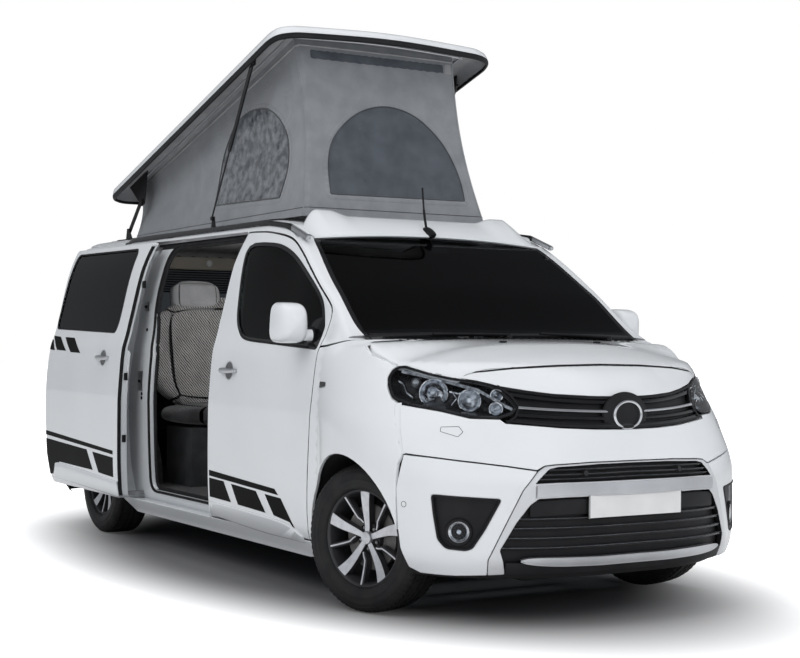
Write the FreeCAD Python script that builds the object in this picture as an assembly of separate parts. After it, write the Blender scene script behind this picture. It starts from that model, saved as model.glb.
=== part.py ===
import FreeCAD, Part
import math
import os

# Camper van with a lifting roof, in millimetres.
# +X is forward, +Y is the vehicle's left, +Z is up. The origin is on the ground, under the middle
# of the overall length and width. The lifting roof stands raised and the right sliding door open.

V = FreeCAD.Vector
X_AXIS, Y_AXIS, Z_AXIS = V(1, 0, 0), V(0, 1, 0), V(0, 0, 1)
os.makedirs("parts", exist_ok=True)

# ---------------------------------------------------------------- driving dimensions
# Lengths and widths below are those of the standard body. Helpers that place things along X and Y
# stretch them to LENGTH and WIDTH, so wheels, pins, struts and panel thicknesses keep their size.
STANDARD_LENGTH, STANDARD_WIDTH = 4940.0, 1916.0
LENGTH = 4940.0             # over the bumpers
WIDTH = 1916.0              # over the body, without mirrors
SX, SY = LENGTH / STANDARD_LENGTH, WIDTH / STANDARD_WIDTH
NOSE_X = 2470.0
FRONT_AXLE_X = 1598.5
REAR_AXLE_X = -1676.5
FRONT_TRACK = 1627.0
REAR_TRACK = 1600.0
TYRE_R = 340.0
TYRE_W = 225.0
RIM_R = 218.0
SIDE_T = 110.0              # doors and body sides below the belt line, skin to inner trim
FRAME_T = 55.0              # the same above the belt line
BELT_Z = 1180.0
ROOF_T = 40.0               # roof, bonnet, bumpers and tailgate
GLASS_T = 5.0
GLASS_SET = 6.0             # glass lies this far inside the outer skin
GAP = 8.0                   # shut lines of the moving panels
FIT = 0.3                   # face-to-face clearance of fixed neighbours
ARCH_R = TYRE_R + 55.0
REST_STEER = 17.0           # degrees to the left, as parked
KINGPIN_Y = 775.0

# Waterlines of the outer skin, half of each: z, then the corners from the rear centre round to
# the front centre: (rear x), rear corner y, rear side (x, y), side rear y, side front (x, y),
# shoulder (x, y), corner (x, y), nose (x, y), (front x).
SIDE_REAR_X = -1900.0
REAR_CORNER = 90.0
WATERLINES = [
    # z,    rear_x, y_in, y_out, y_rear, front_x, y_front, shoulder,    corner,      nose,        front
    (190,  -2440, 780, 850, 870, 1300, 880, (1950, 880), (2200, 760), (2380, 450), 2400),
    (330,  -2466, 820, 900, 943, 1300, 945, (1980, 940), (2225, 800), (2400, 520), 2455),
    (620,  -2470, 830, 910, 955, 1300, 957, (2000, 948), (2245, 785), (2420, 470), 2470),
    (850,  -2462, 830, 910, 958, 1300, 958, (1960, 930), (2190, 740), (2350, 430), 2420),
    (1000, -2455, 825, 905, 952, 1300, 952, (1900, 895), (2130, 695), (2300, 380), 2385),
    (1170, -2440, 815, 895, 938, 1250, 935, (1780, 870), (2050, 690), (2200, 400), 2250),
    (1260, -2432, 790, 870, 916, 900, 912, (1600, 880), (1900, 820), (2100, 700), 2200),
    (1822, -2400, 690, 750, 785, 300, 785, (800, 742), (1100, 700), (1300, 600), 1400),
    (1872, -2380, 620, 670, 718, 260, 718, (740, 680), (1000, 620), (1150, 500), 1250),
    (1896, -2340, 500, 540, 585, 200, 585, (640, 540), (900, 480), (1000, 400), 1100),
]
# Side profile of the body: x, z. It trims the bonnet, windscreen, roof and tailgate.
PROFILE = [
    (2480, 100), (2480, 640), (2420, 905), (2392, 990), (2335, 1062), (2235, 1128), (2080, 1190),
    (1864, 1238), (1600, 1254), (1160, 1538), (730, 1793), (560, 1850), (380, 1878), (150, 1893),
    (-2200, 1893), (-2330, 1878), (-2398, 1830), (-2440, 1180), (-2480, 820), (-2480, 100),
]

# Panel outlines in side view: x, z.
FRONT_DOOR = [(1290, 285), (1290, 1330), (1262, 1398), (1090, 1538), (830, 1703),
              (640, 1778), (210, 1808), (150, 1640), (83, 1329), (70, 889), (62, 285)]
FRONT_WINDOW = [(1092, 1220), (1092, 1462), (1030, 1512), (780, 1668), (600, 1728),
                (270, 1748), (225, 1640), (190, 1330), (215, 1262), (440, 1243)]
SLIDING_DOOR = [(52, 285), (60, 889), (73, 1329), (140, 1640), (196, 1808), (-1095, 1814),
                (-1180, 1330), (-1238, 1000), (-1242, 700), (-1205, 470), (-1150, 330), (-1135, 285)]
SLIDE_BACK = 1075.0
SLIDE_OUT = 96.0
SLIDING_WINDOW = [(-70, 1268), (-45, 1330), (45, 1745), (20, 1775), (-1015, 1782), (-1045, 1755),
                  (-1165, 1345), (-1150, 1288)]
DOOR_OPENING = [(40, 345), (50, 889), (66, 1329), (150, 1700), (120, 1790), (-840, 1790),
                (-900, 1500), (-905, 900), (-880, 345)]
REAR_WINDOW = [(-2310, 1300), (-2290, 1330), (-2235, 1745), (-2205, 1770), (-1270, 1780),
               (-1245, 1755), (-1325, 1340), (-1345, 1290)]
ROOF_PANEL = [(-2300, 1822), (300, 1822), (618, 1802), (765, 1738), (765, 1960),
              (-2500, 1960), (-2500, 1838), (-2340, 1838)]
BONNET = [(1606, 1320), (1606, 1246), (1880, 1130), (2047, 1094), (2100, 1080), (2111, 1110),
          (2205, 1140), (2160, 1320)]
FRONT_PANEL = [(2118, 1069.5), (2118, 1102), (2213, 1133), (2180, 1320), (2520, 1320), (2520, 979.3),
               (2330, 1008.3), (2200, 1046.3)]
HEADLAMP = [(1816, 1037), (1902, 1118), (2047, 1084), (2198, 1042), (2274, 954), (2255, 890),
            (2128, 912), (1923, 966)]
LAMP_INNER_Y = 497.0
FENDER = [(1100, 150), (1100, 1199), (1340, 1216), (1604, 1272), (1604, 1238), (1876, 1120),
          (1902, 1118), (1816, 1037), (1923, 966), (2018, 744), (2005, 700), (2005, 150)]
FRONT_BUMPER = [(2005, 100), (2005, 700), (2018, 744), (1923, 966), (2128, 912), (2255, 890),
                (2300, 862), (2520, 862), (2520, 100)]
UPPER_GRILLE = [(2150, 908), (2255, 890), (2300, 862), (2520, 862), (2520, 979), (2330, 1008), (2200, 1046),
                (2150, 1060)]

# Outlines in front view: y, z.
WINDSCREEN = [(-826, 1262), (-694, 1772), (694, 1772), (826, 1262)]
LOWER_GRILLE = [(-560, 325), (-470, 700), (470, 700), (560, 325)]
TAILGATE = [(-775, 565), (-798, 1000), (-770, 1200), (-668, 1835), (668, 1835), (770, 1200),
            (798, 1000), (775, 565)]
BACKLIGHT = [(-650, 1280), (-565, 1735), (565, 1735), (650, 1280)]
REAR_LAMP = [(-960, 900), (-960, 1420), (-760, 1420), (-800, 1200), (-812, 900)]

# Hinge lines.
DOOR_HINGE = (1180.0, 932.0, 400.0)     # a point on the front doors' hinge line
DOOR_LEAN = 2.0                         # degrees the line leans inwards going up
# The doors' leading edge: height, radius about the hinge line.
DOOR_NOSE = [(270, 14), (400, 18), (620, 38), (889, 55.5), (1177, 74), (1262, 82), (1300, 84),
             (1350, 95), (1398, 107), (1450, 78), (1470, 70)]
NOSE_CLEAR = 5.0                        # round the leading edge
SILL_Z = 277.0                          # the doors stand GAP above it
HINGE_PIN_R = 6.0
BONNET_HINGE = (1630.0, 1230.0)         # x, z of the bonnet's hinge line
BONNET_EDGE_R = 22.0
TAILGATE_HINGE = (-2375.0, 1822.0)
TAILGATE_TOP_R = 26.0

# Lifting roof, measured closed: its rim plane and its corners.
RIM_Z = 1915.0
RIM_H = 16.0
ROOF_REAR_X, ROOF_FRONT_X = -2045.0, 552.0
ROOF_HALF_W = 711.0
ROOF_CROWN = 85.0
ROOF_TILT = 16.3            # degrees, raised
ROOF_OPEN_CORNER = (-2095.0, 2149.0)    # where the rear rim stands when raised: x, z
ARM_PIVOT_X = -1970.0                   # on the body roof
HATCH = (-1905.0, 440.0, 575.0)         # rear x, front x, half width of the hole in the roof
ARM_T = 8.0


# ---------------------------------------------------------------- helpers
def block(x0, x1, y0, y1, z0, z1):
    """A box at its own size."""
    return Part.makeBox(x1 - x0, y1 - y0, z1 - z0, V(x0, y0, z0))


def rod(centre, axis, radius, height):
    """A cylinder at its own size."""
    return Part.makeCylinder(radius, height, V(*centre), axis)


def at(x, y, z):
    """A point of the standard body, on the stretched one."""
    return V(x * SX, y * SY, z)


def box(x0, x1, y0, y1, z0, z1):
    return block(x0 * SX, x1 * SX, y0 * SY, y1 * SY, z0, z1)


def cyl(centre, axis, radius, height):
    stretch = {0: SX, 1: SY, 2: 1.0}[[abs(axis.x), abs(axis.y), abs(axis.z)].index(1.0)]
    return Part.makeCylinder(radius, height * stretch, at(*centre), axis)


def prism(points, axis, low, high):
    """A polygon extruded along Y (points are x, z) or X (points are y, z)."""
    if axis == "Y":
        corners = [at(a, low, b) for a, b in points]
        along = Y_AXIS * ((high - low) * SY)
    else:
        corners = [at(low, a, b) for a, b in points]
        along = X_AXIS * ((high - low) * SX)
    return Part.Face(Part.makePolygon(corners + corners[:1])).extrude(along)


def grown(points, amount):
    """The outline moved outwards by amount on every side, with square corners."""
    area = sum(a[0] * b[1] - b[0] * a[1] for a, b in zip(points, points[1:] + points[:1]))
    sign = 1.0 if area > 0 else -1.0
    found = []
    for i, (x, z) in enumerate(points):
        before, after = points[i - 1], points[(i + 1) % len(points)]
        d1 = (x - before[0], z - before[1])
        d2 = (after[0] - x, after[1] - z)
        n1 = (d1[1] / math.hypot(*d1) * sign, -d1[0] / math.hypot(*d1) * sign)
        n2 = (d2[1] / math.hypot(*d2) * sign, -d2[0] / math.hypot(*d2) * sign)
        share = amount / (1.0 + n1[0] * n2[0] + n1[1] * n2[1])
        found.append((x + (n1[0] + n2[0]) * share, z + (n1[1] + n2[1]) * share))
    return found


def mirrored(shape):
    return shape.mirror(V(0, 0, 0), Y_AXIS)


def solids(shape, least=1000.0):
    """The solids of a boolean's result, without crumbs."""
    kept = [s for s in shape.Solids if s.Volume > least]
    return kept[0] if len(kept) == 1 else Part.makeCompound(kept)


def write(name, shape):
    shape.exportStep(f"parts/{name}.step")


# ---------------------------------------------------------------- the outer skin
def waterline(row, side_inset, low_inset):
    z, rear_x, y_in, y_out, y_rear, front_x, y_front, shoulder, corner, nose, front = row
    inset = low_inset if z < BELT_Z else side_inset
    ends = min(inset, side_inset)
    half = [(rear_x + ends, y_in - ends), (rear_x + REAR_CORNER + ends, y_out - ends),
            (SIDE_REAR_X, y_rear - inset), (front_x, y_front - inset),
            (shoulder[0] - 0.3 * inset, shoulder[1] - inset),
            (corner[0] - 0.7 * ends, corner[1] - 0.7 * ends), (nose[0] - ends, nose[1] - 0.3 * ends)]
    loop = half + [(front - ends, 0.0)] + [(x, -y) for x, y in reversed(half)]
    corners = [at(x, y, z) for x, y in loop]
    return Part.makePolygon(corners + corners[:1])


def body_solid(side=0.0, low=None, top=None):
    """The solid inside the outer skin, taken in by side (low below the belt) and by top above."""
    low = side if low is None else low
    top = side if top is None else top
    stack = [Part.makeLoft([waterline(a, side, low), waterline(b, side, low)], True, True)
             for a, b in zip(WATERLINES[:-1], WATERLINES[1:])]
    trim = grown(PROFILE, -top) if top else PROFILE
    return stack[0].fuse(stack[1:]).common(prism(trim, "Y", -1200, 1200))


OUTER = body_solid()
WALL = OUTER.cut(body_solid(FRAME_T, SIDE_T, ROOF_T))
PANEL = OUTER.cut(body_solid(ROOF_T))
SLIDER_WALL = OUTER.cut(body_solid(38.0, 62.0, 38.0))
SLIDER_POCKET = OUTER.cut(body_solid(44.0, 70.0, 44.0))
GLAZING = body_solid(GLASS_SET).cut(body_solid(GLASS_SET + GLASS_T))
LAMP_WALL = OUTER.cut(body_solid(90.0))


def right_side(outline):
    return prism(outline, "Y", -1200, -400)


def hinge_turned(shape, side):
    """Carries a shape made about the Z axis onto the hinge line of a front door."""
    x, y, z = DOOR_HINGE
    moved = shape.copy()
    moved.rotate(V(0, 0, 0), X_AXIS, -DOOR_LEAN)
    moved.translate(at(x, -y, z))
    return moved if side == "right" else mirrored(moved)


def nose_cone(extra, low, high):
    """The door's leading edge as a solid of revolution about its hinge line."""
    rows = [(z - DOOR_HINGE[2], r + extra) for z, r in DOOR_NOSE]
    points = [(0, low - DOOR_HINGE[2])] + [(r, z) for z, r in rows] + [(0, high - DOOR_HINGE[2])]
    points[1] = (points[1][0], low - DOOR_HINGE[2])
    points[-2] = (points[-2][0], high - DOOR_HINGE[2])
    loop = [V(r, 0, z) for r, z in points]
    face = Part.Face(Part.makePolygon(loop + loop[:1]))
    return hinge_turned(face.revolve(V(0, 0, 0), Z_AXIS, 360), "right")


def wheel_well(x, radius, y0, y1):
    return cyl((x, y0, TYRE_R), Y_AXIS, radius, y1 - y0)


def pair(low, high, side):
    """Two distances from the middle as a y range on one side."""
    return sorted((side * low, side * high))


# ---------------------------------------------------------------- doors and body sides
PILLAR_CORE = prism(grown(WINDSCREEN, 24.0), "X", 600, 1640)
BEHIND_HINGE = DOOR_HINGE[0] + 6.0
NOSE_SPACE = nose_cone(NOSE_CLEAR, SILL_Z, 1500)
DOOR_SPACE = right_side(grown(FRONT_DOOR, GAP)).common(
    box(0, BEHIND_HINGE, -1200, -400, 100, 1900)).cut(
    prism(grown(WINDSCREEN, 24.0 - GAP), "X", 600, 1640)).fuse(NOSE_SPACE)
HINGE_PIN = hinge_turned(rod((0, 0, -160), Z_AXIS, HINGE_PIN_R, 90), "right")
HINGE_BORE = hinge_turned(rod((0, 0, -180), Z_AXIS, HINGE_PIN_R + 0.5, 115), "right")
AHEAD = box(DOOR_HINGE[0], 1500, -1200, -400, 200, 1900).cut(nose_cone(0, 240, 1950))
FRONT_DOOR_R = WALL.common(right_side(FRONT_DOOR)).cut(
    [AHEAD, right_side(FRONT_WINDOW), PILLAR_CORE, HINGE_BORE])
FRONT_GLASS_R = GLAZING.common(right_side(grown(FRONT_WINDOW, -FIT)))

SIDE_REGION = [(-2500, 560), (-2500, 1838), (-2340, 1838), (-2300, 1822), (300, 1822), (618, 1802),
               (765, 1738), (1604, 1272), (1340, 1216), (1100, 1199), (1100, 180), (-2150, 180),
               (-2150, 560)]
SIDE_WALL = WALL.common(right_side(grown(SIDE_REGION, -FIT)))
FRONT_CUT = prism(grown(WINDSCREEN, 5.0), "X", 740, 1640)
REAR_CUT = prism(grown(TAILGATE, GAP), "X", -2600, -2250)
REAR_ARCH = wheel_well(REAR_AXLE_X, ARCH_R, -1200, -630)
FRONT_ARCH = wheel_well(FRONT_AXLE_X + 22, TYRE_R + 46, -1200, -400)
BODY_SIDE = SIDE_WALL.cut([FRONT_CUT, REAR_CUT, REAR_ARCH, prism(REAR_LAMP, "X", -2600, -2340)])
PANE_HOLE = right_side(REAR_WINDOW)
PILLAR = body_solid(ROOF_T + FIT).cut(body_solid(FRAME_T, SIDE_T, ROOF_T)).common(
    box(1100 + FIT, 1228, -1200, -700, 180, 1199 - 2 * FIT))
BODY_SIDE = BODY_SIDE.fuse(PILLAR).cut([DOOR_SPACE, PANE_HOLE, FRONT_ARCH])
SIDE_R = BODY_SIDE.cut(right_side(DOOR_OPENING))
SIDE_R = SIDE_R.cut(SLIDER_POCKET.common(right_side(grown(SLIDING_DOOR, GAP))))
SIDE_L = BODY_SIDE.cut(right_side(SLIDING_WINDOW))
SLIDER = SLIDER_WALL.common(right_side(SLIDING_DOOR)).cut(right_side(SLIDING_WINDOW))
SLIDER_GLASS = GLAZING.common(right_side(grown(SLIDING_WINDOW, -FIT)))
SLIDE = V(-SLIDE_BACK * SX, -SLIDE_OUT, 0)
QUARTER_GLASS = GLAZING.common(right_side(grown(REAR_WINDOW, -FIT)))
LEFT_GLASS = GLAZING.common(right_side(grown(SLIDING_WINDOW, -FIT)))

write("front_door_right", solids(FRONT_DOOR_R))
write("front_door_left", solids(mirrored(FRONT_DOOR_R)))
write("front_door_glass_right", solids(FRONT_GLASS_R))
write("front_door_glass_left", solids(mirrored(FRONT_GLASS_R)))
write("body_side_right", solids(SIDE_R))
write("body_side_left", solids(mirrored(SIDE_L)))
write("sliding_door", solids(SLIDER).translated(SLIDE))
write("side_glass", Part.makeCompound([solids(QUARTER_GLASS), mirrored(solids(QUARTER_GLASS)),
                                       mirrored(solids(LEFT_GLASS)),
                                       solids(SLIDER_GLASS).translated(SLIDE)]))

# The open sliding door hangs on three arms: above, at the sill and on the rail behind it.
ARM_X = (-1062.0, -1032.0)
CARRIERS = []
for low_z, high_z in ((300, 322), (1768, 1790)):
    reach = box(*ARM_X, -1100, -700, low_z, high_z)
    behind = body_solid(44.0 + FIT, 70.0 + FIT, 44.0)
    ahead = body_solid(38.0 + FIT, 62.0 + FIT, 38.0).translated(V(0, -SLIDE_OUT, 0))
    CARRIERS.append(reach.common(ahead).cut(behind.fuse(SIDE_R)))
SIDE_RAIL = box(-2300, -1262, -1000, -900, 1100, 1128).cut(OUTER.translated(V(0, -FIT, 0)))
SIDE_RAIL = SIDE_RAIL.common(OUTER.translated(V(0, -14, 0)))
RUNNER = box(-2290, -2230, -1100, -900, 1104, 1124).cut(OUTER.translated(V(0, -14, 0))).common(
    body_solid(38.0, 62.0 + FIT, 38.0).translated(V(0, -SLIDE_OUT, 0)))
write("sliding_door_rails", Part.makeCompound(
    [solids(c) for c in CARRIERS] + [solids(SIDE_RAIL.fuse(RUNNER))]))

# ---------------------------------------------------------------- front end
FENDER_WALL = PANEL.common(right_side(FENDER))
BONNET_SWEEP = cyl((BONNET_HINGE[0], -1000, BONNET_HINGE[1]), Y_AXIS, BONNET_EDGE_R + 5, 2000)
FENDER_R = FENDER_WALL.cut([NOSE_SPACE, FRONT_ARCH, FRONT_CUT,
                            box(1000, BEHIND_HINGE, -1200, 0, SILL_Z, 1300),
                            box(1300, 1700, -815 - FIT, 0, 1100, 1300), BONNET_SWEEP]).fuse(HINGE_PIN)
write("front_fenders", Part.makeCompound([solids(FENDER_R), mirrored(solids(FENDER_R))]))
TAB_Y, TAB_T = 600.0, 12.0
EDGE_X, EDGE_Z = BONNET_HINGE


def across(x, z, radius, half_w, y=0.0):
    """A cylinder along Y about the point x, z."""
    return cyl((x, y - half_w, z), Y_AXIS, radius, 2 * half_w)


BONNET_PANEL = PANEL.common(prism(BONNET, "Y", -1000, 1000))
BONNET_PANEL = BONNET_PANEL.cut(box(1500, EDGE_X, -1000, 1000, 1150, 1350).cut(
    across(EDGE_X, EDGE_Z, BONNET_EDGE_R, 1000)))
COWL = PANEL.common(prism([(1400, 1130), (1620, 1130), (1620, 1300), (1585, 1300)], "Y", -815, 815))
COWL = COWL.fuse(box(1560, 1604, -815, 815, 1200, 1216)).cut(
    [prism(grown(WINDSCREEN, 3.0), "X", 740, 1640), BONNET_SWEEP])
for y in (-TAB_Y, TAB_Y):
    BONNET_PANEL = BONNET_PANEL.cut(box(1590, EDGE_X + 22, y - TAB_T, y + TAB_T, 1150, 1300)).fuse(
        across(EDGE_X, EDGE_Z, 5, TAB_T + 1, y))
    tab = box(1570, EDGE_X, y - TAB_T / 2, y + TAB_T / 2, 1206, 1222).fuse(
        across(EDGE_X, EDGE_Z, 12, TAB_T / 2, y)).cut(across(EDGE_X, EDGE_Z, 5.5, TAB_T, y))
    COWL = COWL.fuse(tab)
write("bonnet", solids(BONNET_PANEL))
write("cowl", solids(COWL))
LAMP_R = LAMP_WALL.common(prism(grown(HEADLAMP, -FIT), "Y", -1000, -LAMP_INNER_Y))
write("headlamps", Part.makeCompound([solids(LAMP_R), mirrored(solids(LAMP_R))]))
GRILLE = PANEL.common(prism(UPPER_GRILLE, "Y", FIT - LAMP_INNER_Y, LAMP_INNER_Y - FIT))
write("upper_grille", solids(GRILLE))
BUMPER = PANEL.common(prism(grown(FRONT_BUMPER, -FIT), "Y", -1000, 1000))
BUMPER = BUMPER.cut([prism(LOWER_GRILLE, "X", 2100, 2600), FRONT_ARCH, mirrored(FRONT_ARCH)])
NOSE_PANEL = PANEL.common(prism(FRONT_PANEL, "Y", -1000, 1000))
write("front_bumper", Part.makeCompound([solids(BUMPER), solids(NOSE_PANEL)]))
INSERT = body_solid(12.0).cut(body_solid(ROOF_T)).common(
    prism(grown(LOWER_GRILLE, -FIT), "X", 2100, 2600))
CARRIER_X = NOSE_X + 0.2
INSERT = INSERT.fuse(box(CARRIER_X - 40, CARRIER_X, -262, 262, 478, 598))
write("lower_grille", solids(INSERT))
write("licence_plate", box(CARRIER_X + FIT, CARRIER_X + FIT + 8, -260, 260, 480, 596))
write("windscreen", solids(GLAZING.common(prism(WINDSCREEN, "X", 765 + FIT, 1603))))

# ---------------------------------------------------------------- roof and rear end
HATCH_HOLE = box(HATCH[0], HATCH[1], -HATCH[2], HATCH[2], 1700, 2000)
NOTCHES = [box(-2010, -1660, s * 598 - 13, s * 598 + 13, 1700, 2000) for s in (-1, 1)]
HINGE_X, HINGE_Z = TAILGATE_HINGE
HINGE_ROLL = cyl((HINGE_X, -720, HINGE_Z), Y_AXIS, TAILGATE_TOP_R + 6, 1440)
ROOF = PANEL.common(prism(ROOF_PANEL, "Y", -1000, 1000))
ROOF = ROOF.cut([HATCH_HOLE, HINGE_ROLL] + NOTCHES)
for y in (-500, 500):
    tab = box(HINGE_X, -2320, y - TAB_T / 2, y + TAB_T / 2, HINGE_Z + 2, HINGE_Z + 12).fuse(
        box(-2345, -2300, y - TAB_T / 2, y + TAB_T / 2, HINGE_Z + 2, 1860))
    tab = tab.fuse(across(HINGE_X, HINGE_Z, 12, TAB_T / 2, y)).cut(across(HINGE_X, HINGE_Z, 5.5, TAB_T, y))
    ROOF = ROOF.fuse(tab)
write("fixed_roof", solids(ROOF))
GATE = PANEL.common(prism(TAILGATE, "X", -2600, -2340)).cut(prism(BACKLIGHT, "X", -2600, -2300))
ABOVE = box(-2500, -2300, -900, 900, HINGE_Z - 4, 1900).cut(
    cyl((HINGE_X, -900, HINGE_Z), Y_AXIS, TAILGATE_TOP_R, 1800))
GATE = GATE.cut(ABOVE)
for y in (-500, 500):
    GATE = GATE.cut(box(-2450, -2300, y - TAB_T, y + TAB_T, HINGE_Z - 34, 1900)).fuse(
        across(HINGE_X, HINGE_Z, 5, TAB_T + 1, y))
write("tailgate", solids(GATE))
write("tailgate_glass", solids(GLAZING.common(prism(grown(BACKLIGHT, -FIT), "X", -2600, -2340))))
REAR_OUTLINE = [(-2500, 150), (-2500, 560 - FIT), (-2150 - FIT, 560 - FIT), (-2150 - FIT, 150)]
REAR_SKIN = PANEL.common(prism(REAR_OUTLINE, "Y", -1000, 1000))
write("rear_bumper", solids(REAR_SKIN))
LAMP = PANEL.common(prism(grown(REAR_LAMP, -FIT), "X", -2600, -2340.5))
write("rear_lamps", Part.makeCompound([solids(LAMP), mirrored(solids(LAMP))]))

# ---------------------------------------------------------------- roof fittings
FAIRING_STATIONS = [(1760, 812, 690, 500), (1850, 706, 650, 540), (1905, 628, 600, 575), (1923, 600, 572, 578)]


def fairing_ring(z, front_x, half_w, rear_x):
    """Plan outline of the fairing at one height."""
    half = [(rear_x, half_w - 110), (rear_x, half_w), (rear_x + 16, half_w), (front_x - 10, half_w - 60)]
    loop = half + [(front_x, 0)] + [(x, -y) for x, y in reversed(half)]
    corners = [at(x, y, z) for x, y in loop]
    return Part.makePolygon(corners + corners[:1])


FAIRING = Part.makeLoft([fairing_ring(*row) for row in FAIRING_STATIONS], True, True)
FAIRING = FAIRING.cut([body_solid().translated(V(0, 0, FIT)), box(400, 590, -900, 900, 1700, 2000)])
write("roof_fairing", solids(FAIRING))

RAIL_PATH = [(830, 1765), (640, 1838), (380, 1870), (-1480, 1870), (-1600, 1850)]
RAIL = prism(RAIL_PATH, "Y", -776, -748).cut(OUTER.translated(V(0, 0, FIT)))
RAIL = RAIL.cut(OUTER.translated(V(0, FIT, 0)))
write("roof_rails", Part.makeCompound([solids(RAIL), mirrored(solids(RAIL))]))

# ---------------------------------------------------------------- floor, axles, engine
FLOOR_Z, FLOOR_T = 345.0, 45.0
HOUSE_T = 8.0
DOORWAY_HALF_W = 822.0
WELL_INNER_Y = 655.0
LINER_INNER_Y = 505.0
CABIN = body_solid(FRAME_T + FIT, SIDE_T + FIT, ROOF_T + FIT)
FLOOR = box(-2430, 1130, -900, 900, FLOOR_Z - FLOOR_T, FLOOR_Z)
BULKHEAD = box(1130, 1142, -780, 780, FLOOR_Z - FLOOR_T, 1150)
FLOOR = FLOOR.fuse(BULKHEAD)
for side in (-1, 1):
    low, high = pair(WELL_INNER_Y - HOUSE_T, 900, side)
    FLOOR = FLOOR.fuse(wheel_well(REAR_AXLE_X, ARCH_R + HOUSE_T, low, high))
    FLOOR = FLOOR.cut(box(-20, 1200, *pair(DOORWAY_HALF_W, 1000, side), 200, 400))
for side in (-1, 1):
    FLOOR = FLOOR.cut(wheel_well(REAR_AXLE_X, ARCH_R, *pair(WELL_INNER_Y, 1000, side)))
FLOOR = FLOOR.cut(box(-2300, -1200, -900, 900, -200, FLOOR_Z - FLOOR_T)).common(CABIN)
write("floor_pan", solids(FLOOR))

LINER_X = FRONT_AXLE_X + 15
LINER_REACH = (TYRE_R + 41.5) / SX
LINER = wheel_well(LINER_X, TYRE_R + 56, -884, -LINER_INNER_Y).cut(
    wheel_well(LINER_X, TYRE_R + 49, -1000, -400))
LINER = LINER.cut([box(1000, 2200, -1000, 0, -100, TYRE_R + 5),
                   box(1000, LINER_X - LINER_REACH, -1000, 0, -100, 900),
                   box(LINER_X + LINER_REACH + 8, 2200, -1000, 0, 0, 900), FENDER_R])
write("wheel_arch_liners", Part.makeCompound([solids(LINER), mirrored(solids(LINER))]))

RAIL_Y = 400.0
LOWER_ARM_Z = (212.0, 240.0)
SUBFRAME = box(1340, 1400, -430, 430, 200, 260).fuse(box(2200, 2260, -460, 460, 200, 260))
SUBFRAME = SUBFRAME.fuse(box(2200, 2240, -600, 600, 420, 520))
for side in (-1, 1):
    rail_y = pair(RAIL_Y - 30, RAIL_Y + 30, side)
    SUBFRAME = SUBFRAME.fuse([
        box(1000, 2200, *rail_y, 200, 260),
        box(1000, 1130, *rail_y, 260, FLOOR_Z - FLOOR_T - FIT),
        box(2200, 2240, *rail_y, 250, 430),
        box(FRONT_AXLE_X - 40, FRONT_AXLE_X + 40, *pair(410, KINGPIN_Y + 20, side), *LOWER_ARM_Z)])
write("front_subframe", solids(SUBFRAME))
write("engine_block", box(1500, 2050, -385, 385, 260 + FIT, 900))

UNDER_FLOOR_Z = FLOOR_Z - FLOOR_T - FIT
REAR_BEAM = box(REAR_AXLE_X + 60, REAR_AXLE_X + 150, -560, 560, 255, UNDER_FLOOR_Z)
HUB_BACK = (TYRE_W / 2 - 62.0 - FIT) / SY
for side in (-1, 1):
    hub_y = REAR_TRACK / 2 + HUB_BACK
    REAR_BEAM = REAR_BEAM.fuse([
        box(REAR_AXLE_X - 60, REAR_AXLE_X + 450, *pair(500, 560, side), 240, UNDER_FLOOR_Z),
        box(REAR_AXLE_X - 50, REAR_AXLE_X + 50, *pair(500, 690, side), 240, UNDER_FLOOR_Z - 4),
        box(REAR_AXLE_X - 50, REAR_AXLE_X + 50, *pair(664, 690, side), 240, TYRE_R + 70),
        cyl((REAR_AXLE_X, min(side * 664, side * hub_y), TYRE_R), Y_AXIS, 38, hub_y - 664),
        cyl((REAR_AXLE_X, side * 800 - 11, TYRE_R), Y_AXIS, 145, 22)])
write("rear_axle", solids(REAR_BEAM))

TANK = box(-900, 100, -430, 60, 190, UNDER_FLOOR_Z)
PIPE_Y, PIPE_Z, PIPE_R = 420.0, 215.0, 28.0
EXHAUST = box(-1100, -600, 330, 640, 185, UNDER_FLOOR_Z).fuse(
    cyl((-2320, PIPE_Y, PIPE_Z), X_AXIS, PIPE_R, 3300))
write("exhaust_and_tank", Part.makeCompound([EXHAUST, TANK]))

# ---------------------------------------------------------------- wheels
SPOKES = 5
HUB_R = 75.0


def spun(ring):
    """A closed section (radius, y) turned about the Y axis."""
    face = Part.Face(Part.makePolygon([V(r, y, 0) for r, y in ring + ring[:1]]))
    return face.revolve(V(0, 0, 0), Y_AXIS, 360)


def wheel(side):
    """Rim and tyre about the origin, outer face towards side * Y."""
    half = TYRE_W / 2
    tread, shoulder = TYRE_R, TYRE_R - 22
    ring = [(RIM_R + 3, -half + 22), (RIM_R + 14, -half + 6), (shoulder - 30, -half), (shoulder, -half + 10),
            (tread, -half + 34), (tread, half - 34), (shoulder, half - 10), (shoulder - 30, half),
            (RIM_R + 14, half - 6), (RIM_R + 3, half - 22)]
    tyre = spun(ring)
    dish = [(RIM_R + 2.7, -half + 22), (RIM_R + 2.7, half - 22), (RIM_R + 10, half - 8), (RIM_R - 2, half - 8),
            (RIM_R - 14, half - 22), (RIM_R - 14, -half + 22)]
    rim = spun(dish)
    centre = Part.makeCylinder(HUB_R, 40, V(0, half - 62, 0), Y_AXIS)
    spokes = []
    for i in range(SPOKES * 2):
        width = 46.0 if i % 2 == 0 else 16.0
        bar = block(HUB_R - 10, RIM_R - 8, half - 42, half - 22, -width / 2, width / 2)
        bar.rotate(V(0, 0, 0), Y_AXIS, i * 180.0 / SPOKES)
        spokes.append(bar)
    rim = rim.fuse([centre] + spokes)
    if side < 0:
        tyre, rim = tyre.mirror(V(0, 0, 0), Y_AXIS), rim.mirror(V(0, 0, 0), Y_AXIS)
    return tyre, rim


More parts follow.
